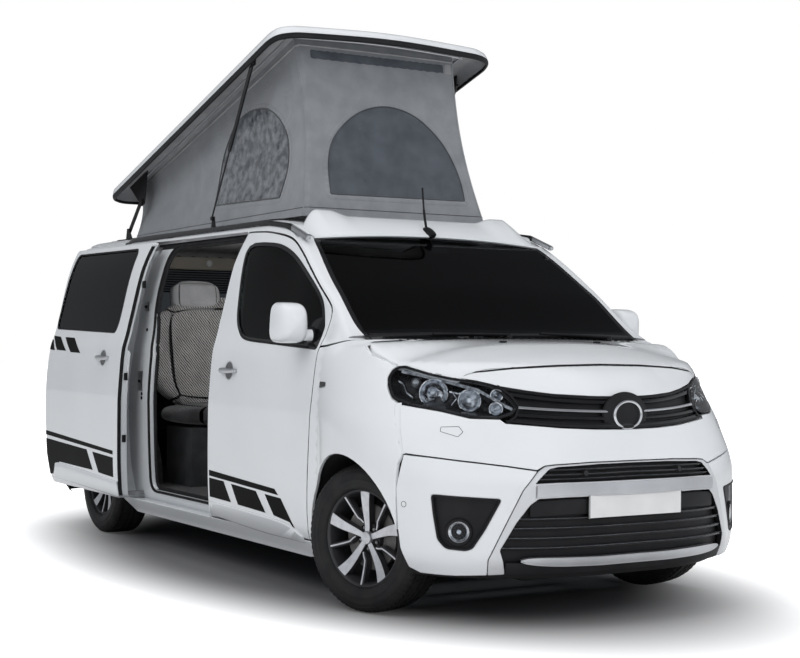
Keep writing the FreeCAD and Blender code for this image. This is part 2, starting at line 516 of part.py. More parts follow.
def turned(shape, side):
    """Turns what rides on a front knuckle by the parked steering angle about its kingpin."""
    placed = shape.copy()
    placed.rotate(at(FRONT_AXLE_X, side * KINGPIN_Y, 0), Z_AXIS, REST_STEER)
    return placed


LEG_Y = FRONT_TRACK / 2 - 151.5 / SY     # the knuckle's leg stands beside the tyre
for side, hand in ((-1, "right"), (1, "left")):
    tyre, rim = wheel(side)
    middle = at(FRONT_AXLE_X, side * FRONT_TRACK / 2, TYRE_R)
    write(f"front_tyre_{hand}", turned(tyre.translated(middle), side))
    write(f"front_rim_{hand}", turned(solids(rim.translated(middle)), side))
    middle = at(REAR_AXLE_X, side * REAR_TRACK / 2, TYRE_R)
    write(f"rear_tyre_{hand}", tyre.translated(middle))
    write(f"rear_rim_{hand}", solids(rim.translated(middle)))
    hub_y = FRONT_TRACK / 2 + HUB_BACK
    stub = cyl((FRONT_AXLE_X, min(side * 700, side * hub_y), TYRE_R), Y_AXIS, 30, hub_y - 700)
    disc = cyl((FRONT_AXLE_X, side * 828 - 13, TYRE_R), Y_AXIS, 148, 26)
    carrier = box(FRONT_AXLE_X - 35, FRONT_AXLE_X + 35, *pair(LEG_Y - 22, 795, side), 262, TYRE_R + 90)
    leg = cyl((FRONT_AXLE_X, side * LEG_Y, 400), Z_AXIS, 26, 250)
    foot = cyl((FRONT_AXLE_X, side * KINGPIN_Y, LOWER_ARM_Z[1] + FIT), Z_AXIS, 18, 40)
    write(f"front_knuckle_{hand}", turned(stub.fuse([disc, carrier, leg, foot]), side))

# ---------------------------------------------------------------- mirrors and door fittings
ARM = box(1110, 1192, -1030, -870, 1238, 1284)
HEAD_OUTLINE = [(1098, 1236), (1120, 1218), (1190, 1218), (1208, 1232), (1250, 1385), (1240, 1408),
                (1210, 1418), (1120, 1418), (1098, 1400)]
HEAD = prism(HEAD_OUTLINE, "Y", -1100, -1010)
MIRROR = ARM.fuse(HEAD).cut(OUTER.translated(V(0, -FIT, 0)))
write("door_mirror_right", solids(MIRROR))
write("door_mirror_left", solids(mirrored(MIRROR)))

# ---------------------------------------------------------------- cab and cabin
DASH_X = 1130.0 - FIT
DASH = prism([(DASH_X, 620), (DASH_X, 1148), (1060, 1160), (860, 1100), (800, 1000), (820, 760),
              (900, 620)], "Y", -735, 735)
write("dashboard", DASH)
WHEEL_TILT = 28.0
RING = Part.makeTorus(180, 14, V(0, 0, 0), Z_AXIS)
COLUMN = rod((0, 0, -160), Z_AXIS, 26, 150)
BOSS = rod((0, 0, -24), Z_AXIS, 62, 30)
STEER = RING.fuse([COLUMN, BOSS, block(-12, 12, -182, 182, -8, 4)])
STEER.rotate(V(0, 0, 0), Y_AXIS, -90 + WHEEL_TILT)
STEER.translate(at(690, 385, 1040))
write("steering_wheel", STEER.cut(DASH.translated(V(-FIT, 0, 0))))


def seat(x, y, width, base_z, back_h, head_h):
    """Cushion, backrest and headrest as three solids, facing +X, x at the cushion's middle."""
    cushion = prism([(x - 250, base_z), (x - 250, base_z + 120), (x + 250, base_z + 150),
                     (x + 262, base_z + 60), (x + 230, base_z)], "Y", y - width / 2, y + width / 2)
    back = prism([(x - 200, base_z + 40), (x - 350, base_z + 60), (x - 480, base_z + 120 + back_h),
                  (x - 390, base_z + 130 + back_h)], "Y", y - width / 2 + 8, y + width / 2 - 8)
    head = prism([(x - 395, base_z + 130 + back_h), (x - 475, base_z + 121 + back_h),
                  (x - 505, base_z + 123 + back_h + head_h), (x - 425, base_z + 133 + back_h + head_h)],
                 "Y", y - 140, y + 140)
    return cushion.fuse(back.cut(cushion)), head


SEAT_X, SEAT_Y, SEAT_Z = 420.0, 405.0, 640.0
FRONT_SEATS = []
PEDESTALS = []
for side in (-1, 1):
    FRONT_SEATS.extend(seat(SEAT_X, side * SEAT_Y, 520, SEAT_Z, 560, 210))
    PEDESTALS.append(box(SEAT_X - 220, SEAT_X + 200, side * SEAT_Y - 200, side * SEAT_Y + 200, FLOOR_Z, SEAT_Z))
write("front_seats", Part.makeCompound(FRONT_SEATS))

BENCH_X, BENCH_Y, BENCH_Z, BENCH_W = -1100.0, -130.0, 700.0, 1010.0
BENCH = [seat(BENCH_X, BENCH_Y, BENCH_W, BENCH_Z, 600, 200)[0]]
BENCH.extend(seat(BENCH_X, BENCH_Y + s * 260, BENCH_W, BENCH_Z, 600, 200)[1] for s in (-1, 1))
write("rear_bench", Part.makeCompound(BENCH))
PEDESTALS.append(box(BENCH_X - 160, BENCH_X + 220, BENCH_Y - 500, BENCH_Y + 500, FLOOR_Z, BENCH_Z))
write("seat_bases", Part.makeCompound(PEDESTALS))
LOCKER_TOP_Z = 1768.0        # under the folded roof arms
CUPBOARD_REAR_X = max(-1240.0, (REAR_AXLE_X + (ARCH_R + HOUSE_T) / SX) + 20)
CUPBOARD = box(CUPBOARD_REAR_X, -60, 440, 900, FLOOR_Z, 1190).common(CABIN)
LOCKER = box(-2200, -900, 330, 900, 1560, LOCKER_TOP_Z).common(CABIN)
write("cabinets", Part.makeCompound([solids(CUPBOARD), solids(LOCKER)]))
CEILING_Z = 1893.0 - ROOF_T
write("bed_board", box(HATCH[0] - 45, HATCH[1] - 60, -HATCH[2], HATCH[2], CEILING_Z - FIT - 18, CEILING_Z - FIT))

# ---------------------------------------------------------------- lifting roof
SHELL_L = ROOF_FRONT_X - ROOF_REAR_X
SHELL_T = 16.0
UNDER_Z = ROOF_CROWN - SHELL_T


def raised(shape):
    """From the roof's own frame (rear rim at x 0, rim plane z 0) to where it stands when raised."""
    placed = shape.copy()
    placed.rotate(V(0, 0, 0), Y_AXIS, -ROOF_TILT)
    placed.translate(at(ROOF_OPEN_CORNER[0], 0, ROOF_OPEN_CORNER[1]))
    return placed


def roof_xz(x, z):
    """A raised point of the lifting roof, from its own frame to the vehicle's, stretched."""
    t = math.radians(ROOF_TILT)
    return (ROOF_OPEN_CORNER[0] * SX + x * SX * math.cos(t) - z * math.sin(t),
            ROOF_OPEN_CORNER[1] + x * SX * math.sin(t) + z * math.cos(t))


def shell_ring(z, inset):
    """Plan outline of the roof shell: cut corners at the back, rounder ones at the front."""
    half = [(inset, ROOF_HALF_W - 90 - inset), (60 + inset, ROOF_HALF_W - inset),
            (SHELL_L - 150 - inset, ROOF_HALF_W - inset), (SHELL_L - 70 - inset, ROOF_HALF_W - 25 - inset),
            (SHELL_L - 30 - inset, ROOF_HALF_W - 110 - inset)]
    loop = half + [(SHELL_L - inset, 0)] + [(x, -y) for x, y in reversed(half)]
    corners = [at(x, y, z) for x, y in loop]
    return Part.makePolygon(corners + corners[:1])


def shell_solid(extra, top):
    return Part.makeLoft([shell_ring(0, extra), shell_ring(0.55 * top, extra + 8), shell_ring(top, extra + 60)],
                         True, True)


SHELL = shell_solid(0, ROOF_CROWN).cut(shell_solid(12, UNDER_Z).translated(V(0, 0, -0.01)))
RIM = Part.makeLoft([shell_ring(-RIM_H, 2), shell_ring(-FIT, 2)], True, True).cut(
    Part.makeLoft([shell_ring(-RIM_H - 1, 16), shell_ring(1, 16)], True, True))
write("lifting_roof", raised(solids(SHELL)))
write("lifting_roof_rim", raised(RIM))

ARM_TOP = (297.8, -103.8)       # the arm's upper pin in the roof's own frame
ARM_Y = 604.0
PIN_R = 6.0
ARM_TOP_X, ARM_TOP_Z = roof_xz(*ARM_TOP)
SHUT_X, SHUT_Z = (ROOF_REAR_X + ARM_TOP[0]) * SX, RIM_Z + ARM_TOP[1]


def equidistant_z(x, first, second):
    """Height of the point at x that is as far from the first x, z as from the second."""
    gap = first[0] ** 2 - second[0] ** 2 + first[1] ** 2 - second[1] ** 2 - 2 * x * (first[0] - second[0])
    return gap / (2 * (first[1] - second[1]))


ARM_PIVOT_Z = equidistant_z(ARM_PIVOT_X * SX, (ARM_TOP_X, ARM_TOP_Z), (SHUT_X, SHUT_Z))


def link(start, end, y, width, thick):
    """A flat bar between two pins, in the plane y."""
    length = math.hypot(end[0] - start[0], end[1] - start[1])
    bar = block(0, length, y - thick / 2, y + thick / 2, -width / 2, width / 2)
    bar = bar.fuse([rod((a, y - thick / 2, 0), Y_AXIS, width / 2, thick) for a in (0, length)])
    bar = bar.cut([rod((a, y - thick, 0), Y_AXIS, PIN_R + 0.5, 2 * thick) for a in (0, length)])
    bar.rotate(V(0, 0, 0), Y_AXIS, -math.degrees(math.atan2(end[1] - start[1], end[0] - start[0])))
    bar.translate(V(start[0], 0, start[1]))
    return bar


ARMS = [link((ARM_PIVOT_X * SX, ARM_PIVOT_Z), (ARM_TOP_X, ARM_TOP_Z), s * ARM_Y * SY, 34, ARM_T)
        for s in (-1, 1)]
write("roof_arms", Part.makeCompound(ARMS))

FEET = []
HANGERS = []
for side in (-1, 1):
    y0, y1 = pair(ARM_Y + 9, ARM_Y + 17, side)
    x, z = ARM_PIVOT_X, ARM_PIVOT_Z
    plate = prism([(x - 34, 1870), (x - 13, z + 12), (x + 13, z + 12), (x + 90, 1870)], "Y", y0, y1)
    pin = cyl((x, min(side * 598, side * 615), z), Y_AXIS, PIN_R, 17)
    FEET.append(plate.cut(OUTER.translated(V(0, 0, FIT))).fuse(pin))
    y0, y1 = pair(ARM_Y - 9, ARM_Y - 15, side)
    hanger = prism([(ARM_TOP[0] - 25, ARM_TOP[1] - 25), (ARM_TOP[0] + 25, ARM_TOP[1] - 25),
                    (ARM_TOP[0] + 130, UNDER_Z - FIT), (ARM_TOP[0] - 190, UNDER_Z - FIT)], "Y", y0, y1)
    pin = cyl((ARM_TOP[0], min(side * 592, side * 610), ARM_TOP[1]), Y_AXIS, PIN_R, 18)
    HANGERS.append(raised(hanger.fuse(pin)))

# Gas struts: tube at the roof, rod at the body.
STRUT_Y = 676.0
STRUT_TOP = (2183.7, 3.2)       # in the roof's own frame
STRUT_FOOT = (-518.0, 1938.0)
TUBE_L = 540.0
TUBE_R, BORE_R, ROD_R = 11.0, 8.5, 5.0
TOP_X, TOP_Z = roof_xz(*STRUT_TOP)
STRUT_RUN, STRUT_RISE = TOP_X - STRUT_FOOT[0] * SX, TOP_Z - STRUT_FOOT[1]
STRUT_L = math.hypot(STRUT_RUN, STRUT_RISE)
STRUT_ANGLE = math.degrees(math.atan2(STRUT_RISE, STRUT_RUN))


def along_strut(shape, side):
    """From a frame whose X runs from the strut's foot to its top."""
    placed = shape.copy()
    placed.rotate(V(0, 0, 0), Y_AXIS, -STRUT_ANGLE)
    placed.translate(at(STRUT_FOOT[0], side * STRUT_Y, STRUT_FOOT[1]))
    return placed


TUBES, RODS, STRUT_PINS = [], [], []
for side in (-1, 1):
    tube = rod((STRUT_L - TUBE_L, 0, 0), X_AXIS, TUBE_R, TUBE_L - 22)
    tube = tube.cut(rod((STRUT_L - TUBE_L - 1, 0, 0), X_AXIS, BORE_R, TUBE_L - 40))
    eye = rod((STRUT_L, -5, 0), Y_AXIS, 12, 10).fuse(block(STRUT_L - 24, STRUT_L - 6, -5, 5, -8, 8))
    tube = tube.fuse(eye).cut(rod((STRUT_L, -10, 0), Y_AXIS, 5.5, 20))
    foot = rod((0, -5, 0), Y_AXIS, 12, 10).cut(rod((0, -10, 0), Y_AXIS, 5.5, 20))
    piston = rod((10, 0, 0), X_AXIS, ROD_R, STRUT_L - TUBE_L + 60).fuse(
        rod((STRUT_L - TUBE_L + 60, 0, 0), X_AXIS, BORE_R - FIT, 12))
    TUBES.append(along_strut(tube, side))
    RODS.append(along_strut(piston.cut(rod((0, -10, 0), Y_AXIS, 8, 20)).fuse(foot), side))
    y0, y1 = pair(STRUT_Y - 8, STRUT_Y + 5, side)
    post = prism([(-548, 1870), (-530, 1950), (-506, 1950), (-488, 1870)], "Y",
                 *pair(STRUT_Y - 14, STRUT_Y - 8, side))
    pin = cyl((STRUT_FOOT[0], y0, STRUT_FOOT[1]), Y_AXIS, 5, y1 - y0)
    STRUT_PINS.append(post.cut(OUTER.translated(V(0, 0, FIT))).fuse(pin))
write("strut_tubes", Part.makeCompound(TUBES))
write("strut_rods", Part.makeCompound(RODS))
write("roof_feet", Part.makeCompound(FEET + STRUT_PINS))
HOOKS = []
for side in (-1, 1):
    pin = cyl((STRUT_TOP[0], min(side * 668, side * 684), STRUT_TOP[1]), Y_AXIS, 5, 16)
    ear = prism([(STRUT_TOP[0] - 14, STRUT_TOP[1] - 12), (STRUT_TOP[0] + 14, STRUT_TOP[1] - 12),
                 (STRUT_TOP[0] + 40, UNDER_Z - FIT), (STRUT_TOP[0] - 40, UNDER_Z - FIT)], "Y",
                *pair(662, 668, side))
    HOOKS.append(raised(ear.fuse(pin).cut(SHELL.translated(V(0, 0, -FIT)))))
write("roof_hangers", Part.makeCompound(HANGERS + HOOKS))

# ---------------------------------------------------------------- tent
TENT_REAR_X, TENT_FRONT_X, TENT_HALF_W = -1930.0, 469.0, 588.0
TENT_TOP_FRONT, TENT_TOP_REAR = 2425.0, 95.0      # in the roof's own frame
TENT_TOP_HALF_W = 521.0
CLOTH_T = 6.0
TENT_FOOT_Z = 1896.5


def tent_solid(inset, low, high):
    """Between the body roof and the underside of the raised roof."""
    base = [(TENT_REAR_X + inset, TENT_HALF_W - inset), (TENT_FRONT_X - inset, TENT_HALF_W - inset)]
    head = [(TENT_TOP_REAR + inset, TENT_TOP_HALF_W - inset), (TENT_TOP_FRONT - inset, TENT_TOP_HALF_W - inset)]
    bottom = [at(x, -y, TENT_FOOT_Z + low) for x, y in base]
    bottom += [at(x, y, TENT_FOOT_Z + low) for x, y in reversed(base)]
    top = []
    for x, y in [(x, -y) for x, y in head] + head[::-1]:
        rx, rz = roof_xz(x, UNDER_Z - high)
        top.append(V(rx, y * SY, rz))
    return Part.makeLoft([Part.makePolygon(bottom + bottom[:1]), Part.makePolygon(top + top[:1])], True, True)


TENT = tent_solid(0, 0, FIT).cut(tent_solid(CLOTH_T, CLOTH_T, CLOTH_T + FIT))
write("tent", solids(TENT))
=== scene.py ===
import math
from itertools import product

import bmesh
import bpy
import numpy as np
from mathutils import Matrix, Vector
from mathutils.geometry import delaunay_2d_cdt


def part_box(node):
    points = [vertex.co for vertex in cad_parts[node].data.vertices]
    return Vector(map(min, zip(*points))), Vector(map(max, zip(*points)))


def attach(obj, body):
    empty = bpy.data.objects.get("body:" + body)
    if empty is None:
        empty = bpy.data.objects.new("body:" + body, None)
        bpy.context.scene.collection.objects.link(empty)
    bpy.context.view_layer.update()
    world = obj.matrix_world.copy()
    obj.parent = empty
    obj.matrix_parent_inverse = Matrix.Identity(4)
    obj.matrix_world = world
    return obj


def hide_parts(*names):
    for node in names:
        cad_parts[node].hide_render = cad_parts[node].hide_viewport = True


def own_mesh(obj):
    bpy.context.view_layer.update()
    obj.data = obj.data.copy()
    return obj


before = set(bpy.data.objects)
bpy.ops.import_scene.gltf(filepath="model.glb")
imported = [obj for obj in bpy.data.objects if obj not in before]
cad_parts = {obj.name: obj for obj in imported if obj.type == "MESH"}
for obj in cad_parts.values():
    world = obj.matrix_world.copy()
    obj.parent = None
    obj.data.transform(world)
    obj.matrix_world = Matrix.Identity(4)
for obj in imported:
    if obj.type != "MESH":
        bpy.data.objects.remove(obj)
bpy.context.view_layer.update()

MM = 0.001
TYRE_R, FRONT_AXLE, REAR_AXLE = 340.0, 1598.5, -1676.5
FRONT_TRACK, REAR_TRACK, KINGPIN_Y, STEER = 1627.0, 1600.0, 775.0, 17.0
ROOF_TILT, ROOF_CORNER = 16.3, (-2095.0, 2149.0)
RAIL_Y, BELT_Z, TENT_FOOT_Z = 762.0, 1400.0, 1897.5
FRONT_ARCH, REAR_ARCH = 386.0, 395.0
FRONT_ARCH_X = FRONT_AXLE + 22
SLIDE_MOVE = (-1075.0, -96.0, 0.0)        # the open sliding door, from where it shuts

# ------------------------------------------------------------------ materials
def node(tree, kind, inputs=None, **settings):
    """A shader node with its settings, and a value or an incoming link for each input."""
    n = tree.nodes.new("ShaderNode" + kind)
    for key, value in settings.items():
        setattr(n, key, value)
    for socket, value in (inputs or {}).items():
        if isinstance(value, bpy.types.NodeSocket):
            tree.links.new(value, n.inputs[socket])
        else:
            n.inputs[socket].default_value = value
    return n


def empty_tree(owner):
    owner.use_nodes = True
    owner.node_tree.nodes.clear()
    return owner.node_tree


def material(name, rough=0.5, metal=0.0, coat=0.0, spec=0.5, sheen=0.0):
    m = bpy.data.materials.new(name)
    m.use_nodes = True
    b = m.node_tree.nodes["Principled BSDF"]
    for socket, value in {"Roughness": rough, "Metallic": metal, "Coat Weight": coat, "Coat Roughness": 0.03,
                          "Specular IOR Level": spec, "Sheen Weight": sheen}.items():
        b.inputs[socket].default_value = value
    return m, m.node_tree, b


def noise(tree, scale):
    where = node(tree, "TexCoord").outputs["Object"]
    return node(tree, "TexNoise", {"Vector": where, "Scale": scale, "Detail": 4.0}).outputs["Fac"]


def ramp(tree, fac, stops):
    """Colours by position, of a socket's value."""
    r = node(tree, "ValToRGB", {"Fac": fac})
    e = r.color_ramp.elements
    while len(e) < len(stops):
        e.new(0.5)
    for el, (pos, col) in zip(e, stops):
        el.position = pos
        el.color = (*col, 1.0)
    return r.outputs["Color"]


def bump(tree, bsdf, height, strength, distance=0.001):
    b = node(tree, "Bump", {"Strength": strength, "Distance": distance, "Height": height})
    tree.links.new(b.outputs["Normal"], bsdf.inputs["Normal"])


def tinted(name, low, high, scale=6.0, grain=None, **kw):
    """Plain finish with a gentle variation of colour, and a grain of (scale, strength)."""
    m, tree, b = material(name, **kw)
    tree.links.new(ramp(tree, noise(tree, scale), [(0.35, low), (0.65, high)]), b.inputs["Base Color"])
    if grain:
        bump(tree, b, noise(tree, grain[0]), grain[1])
    return m


def woven(name, low, high, scale, stripes=None, rough=0.9):
    """Cloth with threads along the axes; stripes are (scale, share, colour)."""
    m, tree, b = material(name, rough=rough, spec=0.15, sheen=0.3)
    where = node(tree, "TexCoord").outputs["Object"]
    threads = [node(tree, "TexWave", {"Vector": where, "Scale": scale, "Distortion": 0.4},
                    bands_direction=axis).outputs["Fac"] for axis in "XYZ"]
    two = node(tree, "Math", {0: threads[0], 1: threads[1]})
    height = node(tree, "Math", {0: two.outputs[0], 1: threads[2]}).outputs[0]
    mix = node(tree, "Math", {0: height, 1: 0.12, 2: noise(tree, 9.0)}, operation="MULTIPLY_ADD")
    colour = ramp(tree, mix.outputs[0], [(0.45, low), (0.9, high)])
    if stripes:
        period, share, dark = stripes
        wave = node(tree, "TexWave", {"Vector": where, "Scale": period, "Distortion": 2.5, "Detail": 1.0},
                    bands_direction="DIAGONAL")
        step = node(tree, "Math", {0: wave.outputs["Fac"], 1: share}, operation="GREATER_THAN")
        blend = node(tree, "Mix", {"Factor": step.outputs[0], "A": colour, "B": (*dark, 1.0)},
                     data_type="RGBA")
        colour = blend.outputs["Result"]
    tree.links.new(colour, b.inputs["Base Color"])
    bump(tree, b, height, 0.35, 0.0006)
    return m


def glazing(name, clear):
    """Window glass: tinted see-through with a sharp reflection."""
    m = bpy.data.materials.new(name)
    tree = empty_tree(m)
    colour = ramp(tree, noise(tree, 3.0), [(0.3, tuple(c * 0.96 for c in clear)), (0.7, clear)])
    see = node(tree, "BsdfTransparent", {"Color": colour})
    gloss = node(tree, "BsdfGlossy", {"Roughness": 0.0})
    share = node(tree, "Fresnel", {"IOR": 1.25})
    mix = node(tree, "MixShader", {0: share.outputs[0], 1: see.outputs[0], 2: gloss.outputs[0]})
    node(tree, "OutputMaterial", {"Surface": mix.outputs[0]})
    return m


WHITE = tinted("white_paint", (0.70, 0.72, 0.74), (0.73, 0.745, 0.765), 2.0, rough=0.22, coat=1.0)
JAMB = tinted("jamb_paint", (0.60, 0.62, 0.64), (0.66, 0.68, 0.70), 3.0, rough=0.35, coat=0.3)
BLACK = tinted("black_plastic", (0.007, 0.007, 0.008), (0.012, 0.012, 0.013), 8.0, rough=0.5, spec=0.25,
               grain=(500.0, 0.15))
GLOSSY_BLACK = tinted("gloss_black", (0.004, 0.004, 0.005), (0.007, 0.007, 0.008), 5.0, rough=0.12,
                      spec=0.3, coat=0.3)
DARK = tinted("underbody", (0.008, 0.008, 0.009), (0.018, 0.018, 0.018), 4.0, rough=0.75, spec=0.2,
              grain=(60.0, 0.3))
RUBBER = tinted("rubber", (0.010, 0.010, 0.011), (0.018, 0.018, 0.019), 14.0, rough=0.72, spec=0.2,
                grain=(300.0, 0.2))
TYRE = tinted("tyre", (0.009, 0.009, 0.010), (0.017, 0.017, 0.017), 12.0, rough=0.6, spec=0.3,
              grain=(220.0, 0.25))
CHROME = tinted("chrome", (0.60, 0.61, 0.63), (0.72, 0.73, 0.75), 5.0, rough=0.12, metal=1.0)
SATIN = tinted("satin_silver", (0.50, 0.51, 0.53), (0.58, 0.59, 0.61), 5.0, rough=0.32, metal=0.9)
# dark pocket paint of the two-tone wheel, also laid on the barrel as painted shade for the wheel's dim inside
POCKET_PAINT_AND_SHADE = tinted("alloy_pocket_paint_and_shade", (0.02, 0.02, 0.022), (0.035, 0.035, 0.038), 7.0, rough=0.45)
STEEL = tinted("steel", (0.25, 0.25, 0.26), (0.36, 0.36, 0.37), 30.0, rough=0.42, metal=0.9)
CAST = tinted("cast_metal", (0.14, 0.14, 0.14), (0.22, 0.21, 0.20), 18.0, rough=0.6, metal=0.6,
              grain=(120.0, 0.3))
DECAL = tinted("decal_black", (0.003, 0.003, 0.003), (0.005, 0.005, 0.005), 4.0, rough=0.5, spec=0.06)
TRIM = tinted("dark_trim", (0.025, 0.026, 0.028), (0.045, 0.046, 0.049), 9.0, rough=0.62, grain=(300.0, 0.25))
BEIGE = tinted("beige_trim", (0.36, 0.33, 0.28), (0.44, 0.41, 0.36), 5.0, rough=0.55)
LINING = tinted("grey_lining", (0.30, 0.30, 0.31), (0.38, 0.38, 0.39), 8.0, rough=0.85, grain=(260.0, 0.3))
GLASS = glazing("glass", (0.84, 0.89, 0.87))
DARK_GLASS = glazing("dark_glass", (0.16, 0.17, 0.18))
LENS = glazing("lens", (0.90, 0.92, 0.94))
# tent side window: clear vinyl drawn opaque, its dark grey is painted shade for the tent's dim inside seen
# through it
VINYL_OVER_INNER_SHADE = tinted("vinyl_painted_inner_shade", (0.06, 0.066, 0.075), (0.20, 0.21, 0.225), 22.0, rough=0.12, coat=0.7,
               grain=(26.0, 1.0))
# handle cup: its own satin metal, coloured dark as painted shade for the hollow behind the pull
HANDLE_CUP_WITH_SHADE = tinted("handle_cup_painted_shade", (0.12, 0.125, 0.13), (0.20, 0.205, 0.21), 20.0, rough=0.4, metal=0.5)
SCREEN_GLASS = glazing("windscreen_glass", (0.70, 0.74, 0.74))
RED_LENS = tinted("red_lens", (0.30, 0.008, 0.010), (0.40, 0.012, 0.014), 6.0, rough=0.12, coat=0.8)
PLATE = tinted("plate", (0.72, 0.72, 0.72), (0.78, 0.78, 0.78), 6.0, rough=0.4)
SEAT = woven("seat_fabric", (0.34, 0.335, 0.33), (0.50, 0.49, 0.48), 160.0,
             stripes=(36.0, 0.62, (0.06, 0.058, 0.057)))
SEAT_DARK = woven("seat_dark", (0.018, 0.018, 0.019), (0.040, 0.040, 0.042), 180.0)
HEADREST = woven("headrest", (0.34, 0.34, 0.35), (0.46, 0.46, 0.47), 180.0)
TENT = woven("tent_fabric", (0.19, 0.20, 0.215), (0.25, 0.26, 0.275), 300.0, rough=0.7)
MESH = woven("tent_mesh", (0.050, 0.058, 0.070), (0.085, 0.098, 0.115), 420.0)
HOUSING = tinted("lamp_housing", (0.012, 0.012, 0.013), (0.03, 0.03, 0.032), 14.0, rough=0.25, coat=0.4)
BULB = tinted("projector", (0.55, 0.60, 0.66), (0.80, 0.84, 0.88), 30.0, rough=0.06, metal=0.6, coat=1.0)
LENS_WHITE = tinted("white_lens", (0.78, 0.78, 0.78), (0.84, 0.84, 0.85), 8.0, rough=0.15, coat=0.8)
MACHINED = tinted("machined_alloy", (0.55, 0.56, 0.59), (0.66, 0.67, 0.70), 40.0, rough=0.3, metal=0.75,
                  grain=(900.0, 0.06))
WORKTOP = tinted("worktop", (0.20, 0.19, 0.18), (0.27, 0.26, 0.25), 14.0, rough=0.4, grain=(300.0, 0.1))
FLOOR_MAT = tinted("floor_covering", (0.05, 0.05, 0.052), (0.085, 0.085, 0.088), 20.0, rough=0.85,
                   grain=(400.0, 0.35))
BELT = woven("belt_webbing", (0.02, 0.02, 0.021), (0.035, 0.035, 0.036), 260.0)
BLIND = woven("blind_cloth", (0.10, 0.115, 0.14), (0.15, 0.17, 0.20), 240.0)
TENT_DARK = woven("tent_piping", (0.04, 0.042, 0.047), (0.07, 0.073, 0.08), 260.0)
REFLECTOR = tinted("lamp_reflector", (0.25, 0.26, 0.28), (0.93, 0.94, 0.96), 46.0, rough=0.12, metal=1.0,
                   grain=(45.0, 1.0))
SILVER = tinted("silver_trim", (0.62, 0.63, 0.65), (0.70, 0.71, 0.73), 4.0, rough=0.3, metal=0.55, coat=0.3)
MIRROR = tinted("mirror_glass", (0.75, 0.77, 0.80), (0.80, 0.82, 0.84), 5.0, rough=0.02, metal=1.0)

# ------------------------------------------------------------------ the body's surface
# Half outline in plan at each height: side (x, half width) points behind x 1300, then the nose.
ROWS = {
    190: ([(-2500, 840), (-2330, 862), (-2200, 872), (-800, 878), (1300, 880)],
          [(1950, 880), (2200, 760), (2380, 450), (2420, 0)]),
    330: ([(-2500, 902), (-2330, 934), (-2200, 943), (-800, 944), (1300, 945)],
          [(1980, 940), (2225, 800), (2400, 520), (2462, 0)]),
    620: ([(-2500, 912), (-2330, 947), (-2200, 955), (-800, 956), (1300, 957)],
          [(2000, 948), (2245, 785), (2420, 470), (2478, 0)]),
    850: ([(-2500, 910), (-2330, 950), (-2200, 958), (-800, 958), (1300, 958)],
          [(1960, 930), (2190, 740), (2350, 430), (2425, 0)]),
    1000: ([(-2500, 905), (-2330, 944), (-2200, 952), (-800, 952), (1300, 950)],
           [(1900, 895), (2130, 695), (2300, 380), (2388, 0)]),
    1170: ([(-2500, 893), (-2330, 930), (-2200, 938), (-800, 938), (1250, 935), (1300, 933)],
           [(1780, 870), (2050, 690), (2200, 400), (2262, 0)]),
    1260: ([(-2500, 868), (-2330, 905), (-2200, 915), (-800, 915), (900, 911), (1300, 897)],
           [(1600, 880), (1900, 820), (2100, 700), (2220, 0)]),
    1822: ([(-2500, 748), (-2330, 777), (-2200, 785), (-800, 785), (300, 785), (800, 742), (1100, 700),
            (1300, 600)], [(1400, 0)]),
    1872: ([(-2500, 676), (-2330, 710), (-2200, 718), (-800, 718), (260, 718), (740, 680), (1000, 620),
            (1150, 500), (1300, 300)], [(1330, 0)]),
    1896: ([(-2500, 540), (-2330, 577), (-2200, 585), (-800, 585), (200, 585), (640, 540), (900, 480),
            (1000, 400), (1300, 200)], [(1320, 0)]),
}
PROFILE = [(-2500, 1600), (-2440, 1790), (-2398, 1834), (-2330, 1872), (-2200, 1888), (-1500, 1893),
           (150, 1893), (380, 1878), (560, 1850), (730, 1793), (1160, 1538), (1600, 1254), (1864, 1238),
           (2080, 1190), (2235, 1128), (2335, 1062), (2392, 990), (2420, 905), (2480, 640)]
REAR = [(100, -2470), (820, -2474), (1180, -2438), (1500, -2420), (1830, -2396), (1960, -2330)]
NOSE_X = 1300.0
HAND = {-1: "right", 1: "left"}


def slopes(x, y):
    """Monotone cubic slopes."""
    h = np.diff(x)
    d = np.diff(y, axis=0) / h.reshape(-1, *([1] * (y.ndim - 1)))
    m = np.zeros_like(y)
    w = h.reshape(-1, *([1] * (y.ndim - 1)))
    a, b = d[:-1], d[1:]
    w1, w2 = 2 * w[1:] + w[:-1], w[1:] + 2 * w[:-1]
    same = a * b > 0
    m[1:-1] = np.where(same, (w1 + w2) / (w1 / np.where(same, a, 1) + w2 / np.where(same, b, 1)), 0)
    m[0], m[-1] = d[0], d[-1]
    return m


def cubic(x, y, at):
    x, y, at = np.asarray(x, float), np.asarray(y, float), np.asarray(at, float)
    m = slopes(x, y)
    i = np.clip(np.searchsorted(x, at) - 1, 0, len(x) - 2)
    h = x[i + 1] - x[i]
    t = np.clip((at - x[i]) / h, 0, 1)
    shape = (-1,) + (1,) * (y.ndim - 1)
    t, h = t.reshape(shape), h.reshape(shape)
    return ((2 * t**3 - 3 * t**2 + 1) * y[i] + (t**3 - 2 * t**2 + t) * h * m[i]
            + (3 * t**2 - 2 * t**3) * y[i + 1] + (t**3 - t**2) * h * m[i + 1])


